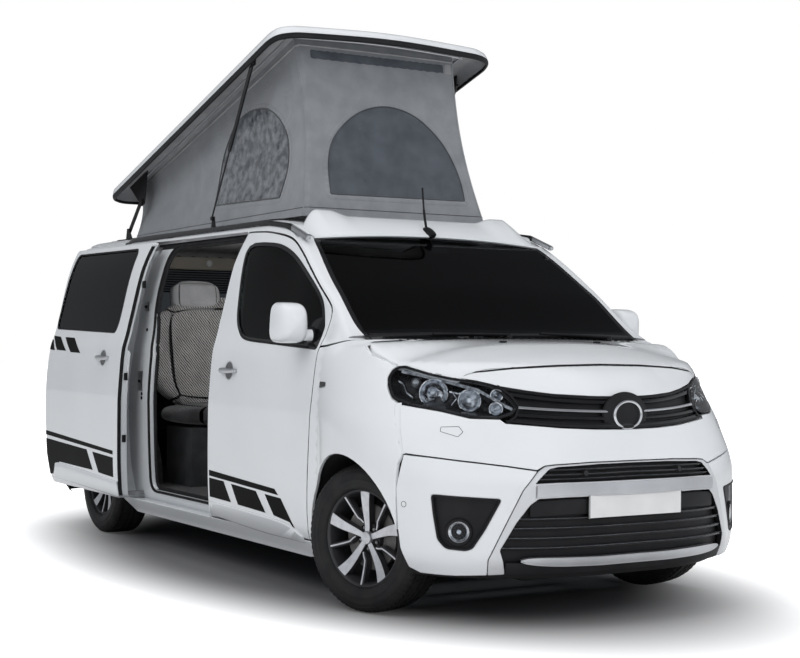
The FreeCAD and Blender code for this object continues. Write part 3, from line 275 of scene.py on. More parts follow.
XS = np.arange(-2500, 1301, 10.0)
PHIS = np.linspace(0, math.pi / 2, 120)
ZS = np.arange(100, 1921, 5.0)
side_rows, nose_rows = [], []
for z, (side_pts, nose_pts) in ROWS.items():
    px, py = zip(*side_pts)
    side_rows.append(cubic(px, py, XS))
    pts = [(side_pts[-1][0], side_pts[-1][1])] + nose_pts
    ang = [math.atan2(y, x - NOSE_X) for x, y in pts][::-1]
    rad = [math.hypot(x - NOSE_X, y) for x, y in pts][::-1]
    ang = [-a for a in ang[1:][::-1]] + ang
    rad = rad[1:][::-1] + rad
    nose_rows.append(cubic(ang, rad, PHIS))
SIDE = cubic(list(ROWS), np.array(side_rows), ZS)
NOSE = cubic(list(ROWS), np.array(nose_rows), ZS)
TOP_X = np.arange(-2500, 2501, 5.0)
TOP = cubic([p[0] for p in PROFILE], [p[1] for p in PROFILE], TOP_X)
kernel = np.hanning(13)
TOP = np.convolve(np.pad(TOP, 6, mode="edge"), kernel / kernel.sum(), mode="valid")


def lookup(table, rows, cols, r, c):
    i = np.clip((r - rows[0]) / (rows[1] - rows[0]), 0, len(rows) - 1.001)
    j = np.clip((c - cols[0]) / (cols[1] - cols[0]), 0, len(cols) - 1.001)
    a, b = i.astype(int), j.astype(int)
    u, v = i - a, j - b
    return ((1 - u) * (1 - v) * table[a, b] + u * (1 - v) * table[a + 1, b]
            + (1 - u) * v * table[a, b + 1] + u * v * table[a + 1, b + 1])


def smax(a, b, k):
    h = np.clip(0.5 + 0.5 * (a - b) / k, 0, 1)
    return b * (1 - h) + a * h + k * h * (1 - h)


def body(p):
    """Signed distance-like value: below zero inside the body's skin. p is (n, 3) in mm."""
    x, y, z = p[:, 0], np.abs(p[:, 1]), p[:, 2]
    flat = y - lookup(SIDE, ZS, XS, z, np.minimum(x, NOSE_X))
    dx = np.maximum(x - NOSE_X, 0)
    r = np.hypot(dx, y)
    phi = np.arctan2(y, np.maximum(dx, 1e-6))
    polar = r - lookup(NOSE, ZS, PHIS, z, phi)
    side = np.where(x < NOSE_X, flat, polar)
    ahead = np.clip((x - 1600) / 260.0, 0, 1)
    crown = 92.0 * ahead ** 2 * (3 - 2 * ahead) * (y / 800.0) ** 2.6
    t = np.clip((x - 720) / 960.0, 0, 1)
    screen = (14.0 + 26.0 * np.sin(math.pi * t)) * np.clip((x - 640) / 90.0, 0, 1)
    screen *= np.clip((1720 - x) / 110.0, 0, 1)
    slope = np.interp(x, TOP_X, np.gradient(TOP, TOP_X))
    top = (z - np.interp(x, TOP_X, TOP) + crown + screen * (y / 800.0) ** 2.4) / np.sqrt(1 + slope**2)
    back = np.interp(z, [r[0] for r in REAR], [r[1] for r in REAR]) - x
    return smax(smax(side, top, 26.0), back, 70.0)


def gradient(p):
    h = 6.0
    g = np.stack([body(p + d) - body(p - d) for d in np.eye(3) * h], axis=1)
    return g / np.linalg.norm(g, axis=1, keepdims=True)


def cast(origin, direction, reach=1400.0):
    """Where rays from inside leave the skin."""
    low, high = np.zeros(len(origin)), np.full(len(origin), reach)
    for _ in range(24):
        mid = (low + high) / 2
        inside = body(origin + direction * mid[:, None]) < 0
        low, high = np.where(inside, mid, low), np.where(inside, high, mid)
    return low


def rays(view, a, b):
    """Origins and directions of a view for its two plan coordinates."""
    a, b = np.asarray(a, float), np.asarray(b, float)
    zero, one = np.zeros_like(a), np.ones_like(a)
    if view in ("right", "left"):
        s = -1.0 if view == "right" else 1.0
        return np.stack([a, zero, b], 1), np.stack([zero, one * s, zero], 1)
    if view == "front":
        return np.stack([one * 300.0, a, b], 1), np.stack([one, zero, zero], 1)
    if view == "rear":
        return np.stack([one * -2000.0, a, b], 1), np.stack([-one, zero, zero], 1)
    if view == "top":
        return np.stack([a, b, np.where(a > 1500, 900.0, 1300.0)], 1), np.stack([zero, zero, one], 1)
    phi = a / 1000.0        # nose: a is 1000 x the angle, b the height
    return np.stack([one * NOSE_X, zero, b], 1), np.stack([np.cos(phi), np.sin(phi), zero], 1)


def on_skin(view, pts, depth=0.0):
    a, b = np.array(pts, float).T
    o, d = rays(view, a, b)
    t = cast(o, d, 2300.0 if view == "front" else 1400.0)
    return o + d * (t - depth)[:, None], d


def skin_point(view, a, b, depth=0.0):
    return on_skin(view, [(a, b)], depth)[0][0]


def to_nose(points, side):
    """Side-view points on the skin as nose coordinates."""
    p, _ = on_skin(HAND[side], points)
    return [(1000.0 * math.atan2(q[1], q[0] - NOSE_X), q[2]) for q in p]


# ------------------------------------------------------------------ outlines
def rounded(points, radius=20.0, step=25.0):
    """Polygon with rounded corners and edges cut into short lengths."""
    n = len(points)
    radii = radius if isinstance(radius, (list, tuple)) else [radius] * n
    out = []
    for i in range(n):
        a, p, b = (np.array(points[j % n], float) for j in (i - 1, i, i + 1))
        u, v = a - p, b - p
        lu, lv = np.linalg.norm(u), np.linalg.norm(v)
        cut = min(radii[i], 0.45 * lu, 0.45 * lv)
        if cut < 1.0:
            out.append(p)
            continue
        p0, p1 = p + u / lu * cut, p + v / lv * cut
        for t in np.linspace(0, 1, 6):
            out.append((1 - t) ** 2 * p0 + 2 * t * (1 - t) * p + t * t * p1)
    dense = []
    for p, q in zip(out, out[1:] + out[:1]):
        k = max(1, int(np.linalg.norm(q - p) / step))
        dense.extend(p + (q - p) * j / k for j in range(k))
    return np.array(dense)


def flow(points, per=7):
    """An open smooth curve through the points."""
    p = np.array(points, float)
    p = np.concatenate([[2 * p[0] - p[1]], p, [2 * p[-1] - p[-2]]])
    out = []
    for a, b, c, d in zip(p, p[1:], p[2:], p[3:]):
        for t in np.arange(per) / per:
            bend, twist = 2 * a - 5 * b + 4 * c - d, 3 * b - a - 3 * c + d
            out.append(tuple(0.5 * (2 * b + (c - a) * t + bend * t**2 + twist * t**3)))
    return out + [tuple(p[-2])]


def inset(loop, amount):
    """A loop moved inwards (outwards if negative), by its corner bisectors."""
    area = 0.5 * np.sum(loop[:, 0] * np.roll(loop[:, 1], -1) - np.roll(loop[:, 0], -1) * loop[:, 1])
    s = 1.0 if area > 0 else -1.0
    d = np.roll(loop, -1, 0) - loop
    d /= np.maximum(np.linalg.norm(d, axis=1, keepdims=True), 1e-9)
    normal = np.stack([-d[:, 1], d[:, 0]], 1) * s
    m = normal + np.roll(normal, 1, 0)
    m /= np.maximum(np.linalg.norm(m, axis=1, keepdims=True), 1e-9)
    k = np.sum(m * normal, 1)
    return loop + m * (amount / np.maximum(k, 0.5))[:, None]


def within(points, loop):
    x, y = points[:, 0:1], points[:, 1:2]
    x0, y0 = loop[:, 0], loop[:, 1]
    x1, y1 = np.roll(x0, -1), np.roll(y0, -1)
    cross = (y0 > y) != (y1 > y)
    xi = x0 + (y - y0) * (x1 - x0) / np.where(y1 == y0, 1e-9, y1 - y0)
    return (np.sum(cross & (x < xi), axis=1) % 2) == 1


def boundary_distance(points, loops):
    """Distance to the nearest loop and the direction from the point to it."""
    best = np.full(len(points), 1e9)
    way = np.zeros((len(points), 2))
    for loop in loops:
        a, b = loop, np.roll(loop, -1, 0)
        for start in range(0, len(points), 2000):
            p = points[start:start + 2000]
            ab = (b - a)[None]
            ap = p[:, None] - a[None]
            t = np.clip(np.sum(ap * ab, 2) / np.maximum(np.sum(ab * ab, 2), 1e-9), 0, 1)
            off = ab * t[..., None] - ap
            dist = np.linalg.norm(off, axis=2)
            k = np.argmin(dist, 1)
            dk = dist[np.arange(len(p)), k]
            ok = off[np.arange(len(p)), k]
            seen = dk < best[start:start + 2000]
            best[start:start + 2000] = np.where(seen, dk, best[start:start + 2000])
            way[start:start + 2000] = np.where(seen[:, None], ok, way[start:start + 2000])
    return best, way / np.maximum(np.linalg.norm(way, axis=1, keepdims=True), 1e-9)


ROLL = 3.5        # radius of a panel's rolled edge


def fill(outline, holes, grid):
    """Triangulated outline with rings near each edge. Returns points and triangles."""
    loops = [outline] + list(holes)
    rings = [outline, inset(outline, 1.1), inset(outline, ROLL)]
    for h in holes:
        rings += [h, inset(h, -1.1), inset(h, -ROLL)]
    lo, hi = outline.min(0), outline.max(0)
    gx, gy = np.meshgrid(np.arange(lo[0], hi[0], grid), np.arange(lo[1], hi[1], grid * 0.87))
    gx[1::2] += grid / 2
    inner = np.stack([gx.ravel(), gy.ravel()], 1)
    keep = within(inner, outline)
    for h in holes:
        keep &= ~within(inner, h)
    inner = inner[keep]
    if len(inner):
        dist, _ = boundary_distance(inner, loops)
        inner = inner[dist > grid * 0.35]
    pts, edges = [], []
    for r in rings:
        k = len(pts)
        pts.extend(r)
        edges.extend((k + i, k + (i + 1) % len(r)) for i in range(len(r)))
    pts.extend(inner)
    res = delaunay_2d_cdt([Vector(p) for p in pts], edges, [], 0, 1e-4)
    verts = np.array([v[:] for v in res[0]])
    tris = np.array([f for f in res[2] if len(f) == 3])
    mid = verts[tris].mean(1)
    keep = within(mid, outline)
    for h in holes:
        keep &= ~within(mid, h)
    tris = tris[keep]
    a, b, c = verts[tris[:, 0]], verts[tris[:, 1]], verts[tris[:, 2]]
    area = (b[:, 0] - a[:, 0]) * (c[:, 1] - a[:, 1]) - (b[:, 1] - a[:, 1]) * (c[:, 0] - a[:, 0])
    tris = tris[np.abs(area) > 1e-6]
    area = area[np.abs(area) > 1e-6]
    tris[area < 0] = tris[area < 0][:, ::-1]
    return verts, tris


def grid_quads(rows, k, closed=False, turned=False):
    """Faces of a grid of rows with k points each. closed joins the ends of a row, turned flips the faces."""
    quads = [(r * k + i, r * k + (i + 1) % k, (r + 1) * k + (i + 1) % k, (r + 1) * k + i)
             for r in range(rows - 1) for i in range(k if closed else k - 1)]
    return [(a, d, c, b) for a, b, c, d in quads] if turned else quads


def circle(a, b, radius, height=None, n=16):
    """Points round a plan's centre a, b."""
    height = radius if height is None else height
    turns = np.linspace(0, 2 * math.pi, n, endpoint=False)
    return np.array([(a + radius * math.cos(t), b + height * math.sin(t)) for t in turns])


class Build:
    """Collects meshes with materials and normals into one object."""

    def __init__(self, name, body_name, slot_name, *replaced):
        self.name, self.body, self.slot, self.replaced = name, body_name, slot_name, replaced
        self.v, self.n, self.f, self.m, self.mats, self.smooth = [], [], [], [], [], []
        self.count = 0

    def mat(self, m):
        if m not in self.mats:
            self.mats.append(m)
        return self.mats.index(m)

    def add(self, verts, faces, m, normals=None, at=None):
        """verts in mm. at turns and places them."""
        verts = np.asarray(verts, float)
        if at is not None:
            verts = at(verts)
        k = self.mat(m)
        self.v.append(verts)
        self.n.append(np.zeros_like(verts) if normals is None else np.asarray(normals, float))
        for f in faces:
            self.f.append(tuple(int(i) + self.count for i in f))
            self.m.append(k)
        self.count += len(verts)

    def grid(self, rows, m, closed=False, turned=False, caps=False, at=None):
        """Rows of points joined into faces. caps closes the first and the last row."""
        n, k = len(rows), len(rows[0])
        quads = grid_quads(n, k, closed, turned)
        if caps:
            quads += [tuple(range(k))[::-1], tuple(range((n - 1) * k, n * k))]
        self.add(np.concatenate(rows), quads, m, at=at)

    def done(self, ride=True):
        me = bpy.data.meshes.new(self.name)
        v = np.concatenate(self.v) * MM
        me.from_pydata(v.tolist(), [], self.f)
        for m in self.mats:
            me.materials.append(m)
        me.polygons.foreach_set("material_index", self.m)
        me.polygons.foreach_set("use_smooth", [True] * len(self.f))
        me.update()
        n = np.concatenate(self.n)
        zero = np.linalg.norm(n, axis=1) < 0.1
        me.set_sharp_from_angle(angle=math.radians(38))
        if not zero.all():
            loops = np.zeros(len(me.loops), int)
            me.loops.foreach_get("vertex_index", loops)
            auto = np.zeros(len(me.loops) * 3)
            me.corner_normals.foreach_get("vector", auto)
            auto = auto.reshape(-1, 3)
            custom = np.where(zero[loops][:, None], auto, n[loops])
            me.normals_split_custom_set(custom.tolist())
        o = bpy.data.objects.new(self.name, me)
        bpy.context.scene.collection.objects.link(o)
        if self.replaced:
            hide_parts(*self.replaced)
        if ride:
            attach(o, self.body)
        return o

    # -------- shapes
    def panel(self, view, outline, m, holes=(), grid=38.0, depth=0.0, thick=40.0, inner=None, rim=None,
              move=(0, 0, 0)):
        """A piece of the body's skin: outer face, edges and inner face. thick may be a function of height."""
        def depths(points):
            return np.array([thick(z) if callable(thick) else float(thick) for z in points[:, 2]])
        holes = list(holes)
        pts, tris = fill(outline, holes, grid)
        p, d = on_skin(view, pts, depth)
        g = gradient(p + d * depth)
        dist, way = boundary_distance(pts, [outline] + holes)
        near = np.clip(1 - dist / ROLL, 0, 1)
        sink = ROLL * (1 - np.sqrt(np.clip(1 - near**2, 0, 1)))
        p = p - d * sink[:, None]
        a, b, zero = way[:, 0], way[:, 1], np.zeros(len(way))
        if view in ("right", "left"):
            flat = np.stack([a, zero, b], 1)
        elif view in ("front", "rear"):
            flat = np.stack([zero, a, b], 1)
        elif view == "top":
            flat = np.stack([a, b, zero], 1)
        else:
            flat = np.stack([-d[:, 1] * a, d[:, 0] * a, b], 1)
        tilt = np.clip(near, 0, 0.9)[:, None]
        n = g * np.sqrt(1 - tilt**2) + flat * tilt
        n /= np.linalg.norm(n, axis=1, keepdims=True)
        q = p[tris]
        face = np.cross(q[:, 1] - q[:, 0], q[:, 2] - q[:, 0])
        if np.sum(face * n[tris[:, 0]]) < 0:
            tris = tris[:, ::-1]
        p = p + np.array(move)
        self.add(p, tris, m, n)
        t = depths(p)
        if np.all(t <= 0):
            return
        back = p - d * (t - sink)[:, None]
        self.add(back, tris[:, ::-1], inner or m, -g)
        for loop in [outline] + holes:
            lp, ld = on_skin(view, loop, depth)
            lp = lp - ld * ROLL + np.array(move)
            self.grid([lp, lp - ld * (depths(lp) - ROLL)[:, None]], rim or inner or m, closed=True)

    def strip(self, view, loop, width, lift, m, closed=True, move=(0, 0, 0), depth=0.0):
        """A band of that width along a line on the skin, raised by lift."""
        loop = np.asarray(loop, float)
        a, b = inset(loop, -width / 2), inset(loop, width / 2)
        if not closed:
            d = np.gradient(loop, axis=0)
            d /= np.linalg.norm(d, axis=1, keepdims=True)
            n2 = np.stack([-d[:, 1], d[:, 0]], 1) * width / 2
            a, b = loop + n2, loop - n2
        pa, _ = on_skin(view, a, depth - lift)
        pb, _ = on_skin(view, b, depth - lift)
        pm, _ = on_skin(view, loop, depth - lift * 1.3)
        sa, _ = on_skin(view, a, depth + 1.0)
        sb, _ = on_skin(view, b, depth + 1.0)
        self.grid([row + np.array(move) for row in (sa, pa, pm, pb, sb)], m, closed)

    def patch(self, view, outline, m, lift=0.7, radius=4.0, grid=30.0, move=(0, 0, 0), depth=0.0):
        """A thin film on the skin."""
        outline = rounded(outline, radius, 20.0) if isinstance(outline, list) else outline
        pts, tris = fill(outline, [], grid)
        p, _ = on_skin(view, pts, depth - lift)
        g = gradient(p)
        q = p[tris]
        if np.sum(np.cross(q[:, 1] - q[:, 0], q[:, 2] - q[:, 0]) * g[tris[:, 0]]) < 0:
            tris = tris[:, ::-1]
        self.add(p + np.array(move), tris, m, g)

    def box(self, x0, x1, y0, y1, z0, z1, m, bevel=3.0, at=None):
        """A block with bevelled edges."""
        low, high = np.array([x0, y0, z0], float), np.array([x1, y1, z1], float)
        c, h = (low + high) / 2, (high - low) / 2
        b = min(bevel, *((high - low) * 0.45))
        verts, index = [], {}
        for signs in product((-1, 1), repeat=3):
            s = np.array(signs, float)
            for axis in range(3):
                v = s * (h - b)
                v[axis] = s[axis] * h[axis]
                index[(*signs, axis)] = len(verts)
                verts.append(c + v)
        faces = []
        for axis in range(3):
            o1, o2 = [a for a in range(3) if a != axis]

            def point(s, u, w, kind):
                k = [0, 0, 0]
                k[axis], k[o1], k[o2] = s, u, w
                return index[(*k, kind)]
            for s in (-1, 1):
                faces.append([point(s, u, w, axis) for u, w in ((-1, -1), (1, -1), (1, 1), (-1, 1))])
            for u, w in product((-1, 1), repeat=2):
                faces.append([point(-1, u, w, o1), point(-1, u, w, o2), point(1, u, w, o2),
                              point(1, u, w, o1)])
        faces += [[index[(*signs, a)] for a in range(3)] for signs in product((-1, 1), repeat=3)]
        verts = np.array(verts)
        outward = []
        for f in faces:
            p = verts[f]
            away = np.dot(np.cross(p[1] - p[0], p[2] - p[0]), p.mean(0) - c) > 0
            outward.append(f if away else f[::-1])
        self.add(verts, outward, m, at=at)

    def lathe(self, profile, centre, axis, m, steps=48, at=None):
        """Profile points (radius, along) turned about an axis through centre."""
        axis = np.array(axis, float)
        helper = np.array([0, 0, 1.0]) if abs(axis[2]) < 0.9 else np.array([1.0, 0, 0])
        u = np.cross(axis, helper)
        u /= np.linalg.norm(u)
        w = np.cross(axis, u)
        ang = np.radians(np.linspace(0, 360, steps, endpoint=False))
        self.grid([np.array(centre) + axis * along + r * (np.cos(ang)[:, None] * u + np.sin(ang)[:, None] * w)
                   for r, along in profile], m, closed=True, at=at)

    def tube(self, path, radius, m, steps=12):
        path = np.array(path, float)
        d = np.gradient(path, axis=0)
        d /= np.linalg.norm(d, axis=1, keepdims=True)
        ref = np.array([0, 0, 1.0]) if abs(d[0][2]) < 0.9 else np.array([0, 1.0, 0])
        rings = []
        ang = np.linspace(0, 2 * math.pi, steps, endpoint=False)
        for p, t in zip(path, d):
            u = np.cross(t, ref)
            u /= np.linalg.norm(u)
            w = np.cross(u, t)
            rings.append(p + radius * (np.cos(ang)[:, None] * u + np.sin(ang)[:, None] * w))
        self.grid(rings, m, closed=True, caps=True)

    def ring(self, loop, radius, m):
        """A closed round cord of 8 sides."""
        self.tube(np.concatenate([loop, loop[:1]]), radius, m, 8)


def below_belt(z):
    """1 well below the belt line, 0 above it."""
    return min(1.0, max(0.0, (BELT_Z - z) / 260.0))


def wall(z):
    """Thickness of the doors and sides."""
    return 55.0 + 55.0 * below_belt(z)


def slider_wall(z):
    return 62.0 if z < 1170 else 38.0


def recess(z):
    """How far the sliding doorway's step lies inside the skin."""
    return 40.0 + 30.0 * below_belt(z)


# ------------------------------------------------------------------ panel outlines, side view x, z
FRONT_DOOR = [(1192, 285), (1190, 420), (1200, 600), (1222, 889), (1249, 1177), (1262, 1262), (1262, 1345)]
FRONT_DOOR += flow([(1256, 1372), (1224, 1411), (1047, 1541), (866, 1666), (698, 1752), (476, 1794),
                    (300, 1806), (215, 1807)])
FRONT_DOOR += [(150, 1640), (83, 1329), (70, 889), (62, 285)]
FRONT_PANE = [(1226, 1206)] + flow([(1226, 1298), (1148, 1432), (998, 1543), (805, 1652), (637, 1712),
                                    (474, 1732), (345, 1735)])
FRONT_PANE += flow([(297, 1722), (277, 1680), (285, 1507), (300, 1368), (352, 1292), (455, 1248),
                    (758, 1229)])
SLIDING_DOOR = [(52, 285), (60, 889), (73, 1329), (140, 1640), (196, 1808), (-1095, 1814), (-1180, 1330),
                (-1238, 1000), (-1242, 700), (-1205, 470), (-1150, 330), (-1135, 285)]
SLIDING_PANE = [(-100, 1270), (-70, 1330), (20, 1750), (-5, 1778), (-1022, 1784), (-1052, 1757),
                (-1172, 1345), (-1158, 1296)]
DOOR_OPENING = [(40, 345), (50, 889), (66, 1329), (150, 1700), (130, 1780), (-850, 1780), (-905, 1500),
                (-912, 900), (-885, 345)]
REAR_PANE = [(-2310, 1300), (-2290, 1330), (-2235, 1745), (-2205, 1770), (-1270, 1780), (-1245, 1755),
             (-1325, 1340), (-1345, 1290)]
SILL_Z = 277.0
PANE = {"depth": 5.0, "thick": 4.0}        # a pane lies a little below the paint
# Windscreen edge from the front: half width and height, from the top to the base corner.
SCREEN_EDGE = [(690, 1768), (712, 1742), (728, 1700), (754, 1620), (784, 1505), (803, 1382), (812, 1310),
               (812, 1262)]


def arch_points(cx, radius, start, end, steps=28):
    return [(cx + radius * math.cos(math.radians(a)), TYRE_R + radius * math.sin(math.radians(a)))
            for a in np.linspace(start, end, steps)]


def grown(points, amount):
    return [tuple(p) for p in inset(np.array(points, float), -amount)]


def pillar_edges(side):
    """The windscreen pillar's two edges: beside the glass, and where it turns into the side."""
    screen, _ = on_skin("front", [(side * (y + 5.0), z) for y, z in flow(SCREEN_EDGE, 5)])
    foot, _ = on_skin(HAND[side], [(p[0] - 8.0, p[2] - 11.0) for p in screen])
    return screen, foot


def bridge(b, first, last, way, m, inner, over=0.0, lift=0.3):
    """A rounded piece of skin between two lines, met by rays that run along way."""
    way = np.array(way) / np.linalg.norm(way)
    rows, normals = [], []
    for t in np.linspace(-over, 1 + over, 13):
        inside = first + (last - first) * t - way * 150.0
        p = inside + way * (cast(inside, np.tile(way, (len(inside), 1)), 400.0) + lift)[:, None]
        rows.append(p)
        normals.append(gradient(p))
    k, last_row = len(first), len(rows) - 1
    p, n = np.concatenate(rows), np.concatenate(normals)
    quads = grid_quads(len(rows), k)
    middle = quads[len(quads) // 2]
    side = p[list(middle[:3])]
    if np.dot(np.cross(side[1] - side[0], side[2] - side[0]), n[middle[0]]) < 0:
        quads = [q[::-1] for q in quads]
    back = p - n * 16.0
    b.add(p, quads, m, n)
    b.add(back, [q[::-1] for q in quads], inner, -n)
    around = list(range(k)) + [r * k + k - 1 for r in range(1, last_row)]
    around += [last_row * k + i for i in range(k - 1, -1, -1)] + [r * k for r in range(last_row - 1, 0, -1)]
    b.grid([p[around], back[around]], inner, closed=True)


def sides():
    """Quarter panel, roof edge, sill and pillars as one piece a side, and the fixed panes."""
    edge = []
    for x in np.linspace(-2300, 560, 14):       # where the roof panel meets the side, under the rail
        o = np.array([[x, -764.0, 1400.0]])
        edge.append((x, 1400.0 + cast(o, np.array([[0, 0, 1.0]]), 700.0)[0] - 2.0))
    for side in (-1, 1):
        v = h = HAND[side]
        b = Build("body_side_panels_" + h, "body", "white_paint", "body_side_" + h)
        loop = [(-2352, 1838), (-2392, 1200), (-2408, 1000), (-2400, 565), (-2150, 565), (-2150, 285),
                (REAR_AXLE - 391, 285)]
        loop += arch_points(REAR_AXLE, REAR_ARCH, 188, -8)
        loop += [(-1120, 188), (1100, 188), (1180, 200), (1180, SILL_Z)]
        loop += [(62, SILL_Z), (60, 290), (66, 889), (78, 1329), (145, 1640), (207, 1815)]
        loop += flow([(300, 1814), (476, 1802), (701, 1761), (871, 1674), (1052, 1549), (1230, 1418),
                      (1264, 1378)])
        loop += [(1270, 1345), (1270, 1262), (1262, 1212)]
        screen, foot = pillar_edges(side)
        loop += [(1340, 1219), (1500, 1240)] + [(p[0], p[2]) for p in foot[::-1]] + [(680, 1790)] + edge[::-1]
        panes = [REAR_PANE] if side < 0 else [REAR_PANE, SLIDING_PANE]
        holes = panes + ([grown(SLIDING_DOOR, 8)] if side < 0 else [])
        b.panel(v, rounded(loop, 5.0), WHITE, holes=[rounded(x, 26.0) for x in holes], thick=wall,
                inner=LINING, rim=JAMB)
        bridge(b, screen, foot, (0.45, side * 0.9, 0.65), WHITE, LINING, 0.06)
        g = Build("side_panes_" + h, "body", "dark_glass")
        for pane in panes:
            b.strip(v, rounded(grown(pane, -4), 26.0), 10.0, 1.5, RUBBER)
            g.panel(v, rounded(grown(pane, -0.5), 26.0), DARK_GLASS, **PANE)
        b.done()
        g.done()


def jambs():
    """The step, pillars and rail round the open sliding doorway."""
    b = Build("doorway_jambs", "body", "white_paint")
    loop = rounded(grown(SLIDING_DOOR, 8), 26.0)
    hole = rounded(DOOR_OPENING, [70, 30, 30, 60, 45, 110, 60, 60, 70])
    pts, tris = fill(loop, [hole], 40.0)
    p, d = on_skin("right", pts)
    t = np.array([recess(z) for z in p[:, 2]])
    q = p - d * t[:, None]
    g = gradient(p)
    faces = tris if np.cross(*(q[tris[0]][1:] - q[tris[0]][0]))[1] < 0 else tris[:, ::-1]
    above = q[faces][:, :, 2].mean(1) > 1784.0
    b.add(q, faces[~above], JAMB, g)
    b.add(q, faces[above], BLACK, g)
    lp, ld = on_skin("right", hole)
    t0 = np.array([recess(z) for z in lp[:, 2]])
    t1 = np.array([wall(z) for z in lp[:, 2]])
    b.grid([lp - ld * t0[:, None], lp - ld * t1[:, None]], JAMB, closed=True)
    # rubber seal round the opening
    sp, sd = on_skin("right", inset(hole, -9.0))
    b.ring(sp - sd * np.array([recess(z) - 6.0 for z in sp[:, 2]])[:, None], 8.0, RUBBER)
    # latch plate and striker on the rear pillar, upper rail, lower step tread
    for z, hgt in ((980.0, 120.0), (1430.0, 60.0)):
        y = skin_point("right", -1075.0, z)[1] + recess(z) + 1.0
        b.box(-1112, -1030, y - 5, y + 2, z - hgt / 2, z + hgt / 2, SATIN, 5.0)
        b.box(-1086, -1062, y - 14, y - 3, z - 9, z + 9, BLACK, 4.0)
    for z in (905.0, 880.0, 1290.0):
        c = skin_point("right", -1040, z) + (0, recess(z), 0)
        b.lathe([(0, 6), (9, 5), (11, 0)], c, (0, -1, 0), BLACK, 20)
    # a thick black seal on the opening's inner edge
    sp, sd = on_skin("right", inset(hole, 6.0))
    b.ring(sp - sd * np.array([wall(z) - 10.0 for z in sp[:, 2]])[:, None], 11.0, RUBBER)
    b.done()
    tread = Build("step_tread", "body", "rail")
    for x in np.arange(-840, 20, 22.0):
        y = skin_point("right", x, 330.0)[1]
        tread.box(x, x + 12, y + 75, y + 108, 343.5, 349.0, RUBBER, 2.0)
    tread.done()


def front_doors():
    for side in (-1, 1):
        v = h = HAND[side]
        b = Build("front_door_shell_" + h, "front_door_" + h, "white_paint", "front_door_" + h)
        pane_loop = rounded(FRONT_PANE, 10.0)
        b.panel(v, rounded(FRONT_DOOR, 6.0), WHITE, holes=[pane_loop], thick=wall, inner=TRIM, rim=BLACK)
        b.strip(v, inset(pane_loop, -4.0), 20.0, 1.2, GLOSSY_BLACK)
        # black corner plate that carries the mirror
        b.patch(v, [(1098, 1208), (1236, 1200), (1240, 1296), (1196, 1352), (1120, 1330)], GLOSSY_BLACK,
                1.6, 26.0)
        # waist seal
        b.strip(v, np.array(flow([(352, 1284), (455, 1241), (758, 1222), (1150, 1205)])), 9.0, 3.5, RUBBER,
                closed=False)
        b.done()
        g = Build("front_door_pane_" + h, "front_door_" + h, "glass", "front_door_glass_" + h)
        g.panel(v, inset(pane_loop, 0.5), GLASS, **PANE)
        g.done()
        handle(side, 310.0, 1074.0, "front_door_" + h, "front_door_handle_" + h)
        # sill moulding
        s = Build("door_moulding_" + h, "front_door_" + h, "white_paint")
        moulding(s, v, [(72, 368), (500, 360), (979, 340), (1130, 292)],
                 [(72, 296), (400, 276), (744, 262), (1140, 262)])
        s.done()


def moulding(b, view, top, low, move=(0, 0, 0)):
    """A raised band between an upper and a lower line."""
    top, low = np.array(flow(top, 12)), np.array(flow(low, 12))
    k = min(len(top), len(low))
    t = np.linspace(0, 1, k)
    top, low = [np.stack([np.interp(t, np.linspace(0, 1, len(c)), c[:, a]) for a in (0, 1)], 1)
                for c in (top, low)]
    ends = 1 - np.clip(np.abs(2 * t - 1) * 1.04 - 0.96, 0, 1) / 0.08
    rows = []
    for f, lift in ((1.02, -1.0), (1.0, 5.0), (0.93, 9.0), (0.10, 10.0), (0.02, 6.0), (-0.02, -1.0)):
        line = low + f * (top - low)
        p, d = on_skin(view, line)
        rows.append(p + d * (lift * (ends if lift > 0 else 1.0) * np.ones(k))[:, None] + np.array(move))
    b.grid(rows, WHITE)


def handle(side, x, z, body_name, name, move=(0, 0, 0)):
    """A pull handle over a shallow cup, drawn as a thin film of satin metal whose colour is darkened as
    painted shade for its hollow.
    """
    v = HAND[side]
    y0 = skin_point(v, x, z)[1]
    b = Build(name, body_name, "chrome")
    mv = np.array(move)
    cup = circle(x, z, 47, n=32)
    # the cup is flat; its dark colour is painted shade for the hollow
    b.patch(v, cup, HANDLE_CUP_WITH_SHADE, 0.8, 4.0, 20.0, move)
    b.strip(v, cup, 4.0, 1.2, SATIN, move=move)
    rings = []
    for t in np.linspace(0.02, 0.98, 22):
        y = y0 + side * (8 + 22 * math.sin(math.pi * t) ** 0.5)
        tall = 15.0 * (0.75 + 0.25 * math.sin(math.pi * t))
        ang = np.linspace(0, 2 * math.pi, 12, endpoint=False)
        rings.append([(x - 92 + 184 * t, y + 6.5 * math.cos(a), z + tall * math.sin(a)) for a in ang])
    b.grid(rings, SATIN, closed=True, caps=True, at=lambda q: q + mv)
    ys = sorted((y0, y0 + side * 14))
    for dx in (-84, 84):
        b.box(x + dx - 10, x + dx + 10, ys[0] - 1, ys[1] + 1, z - 11, z + 11, SATIN, 4.0, at=lambda q: q + mv)
    b.done()


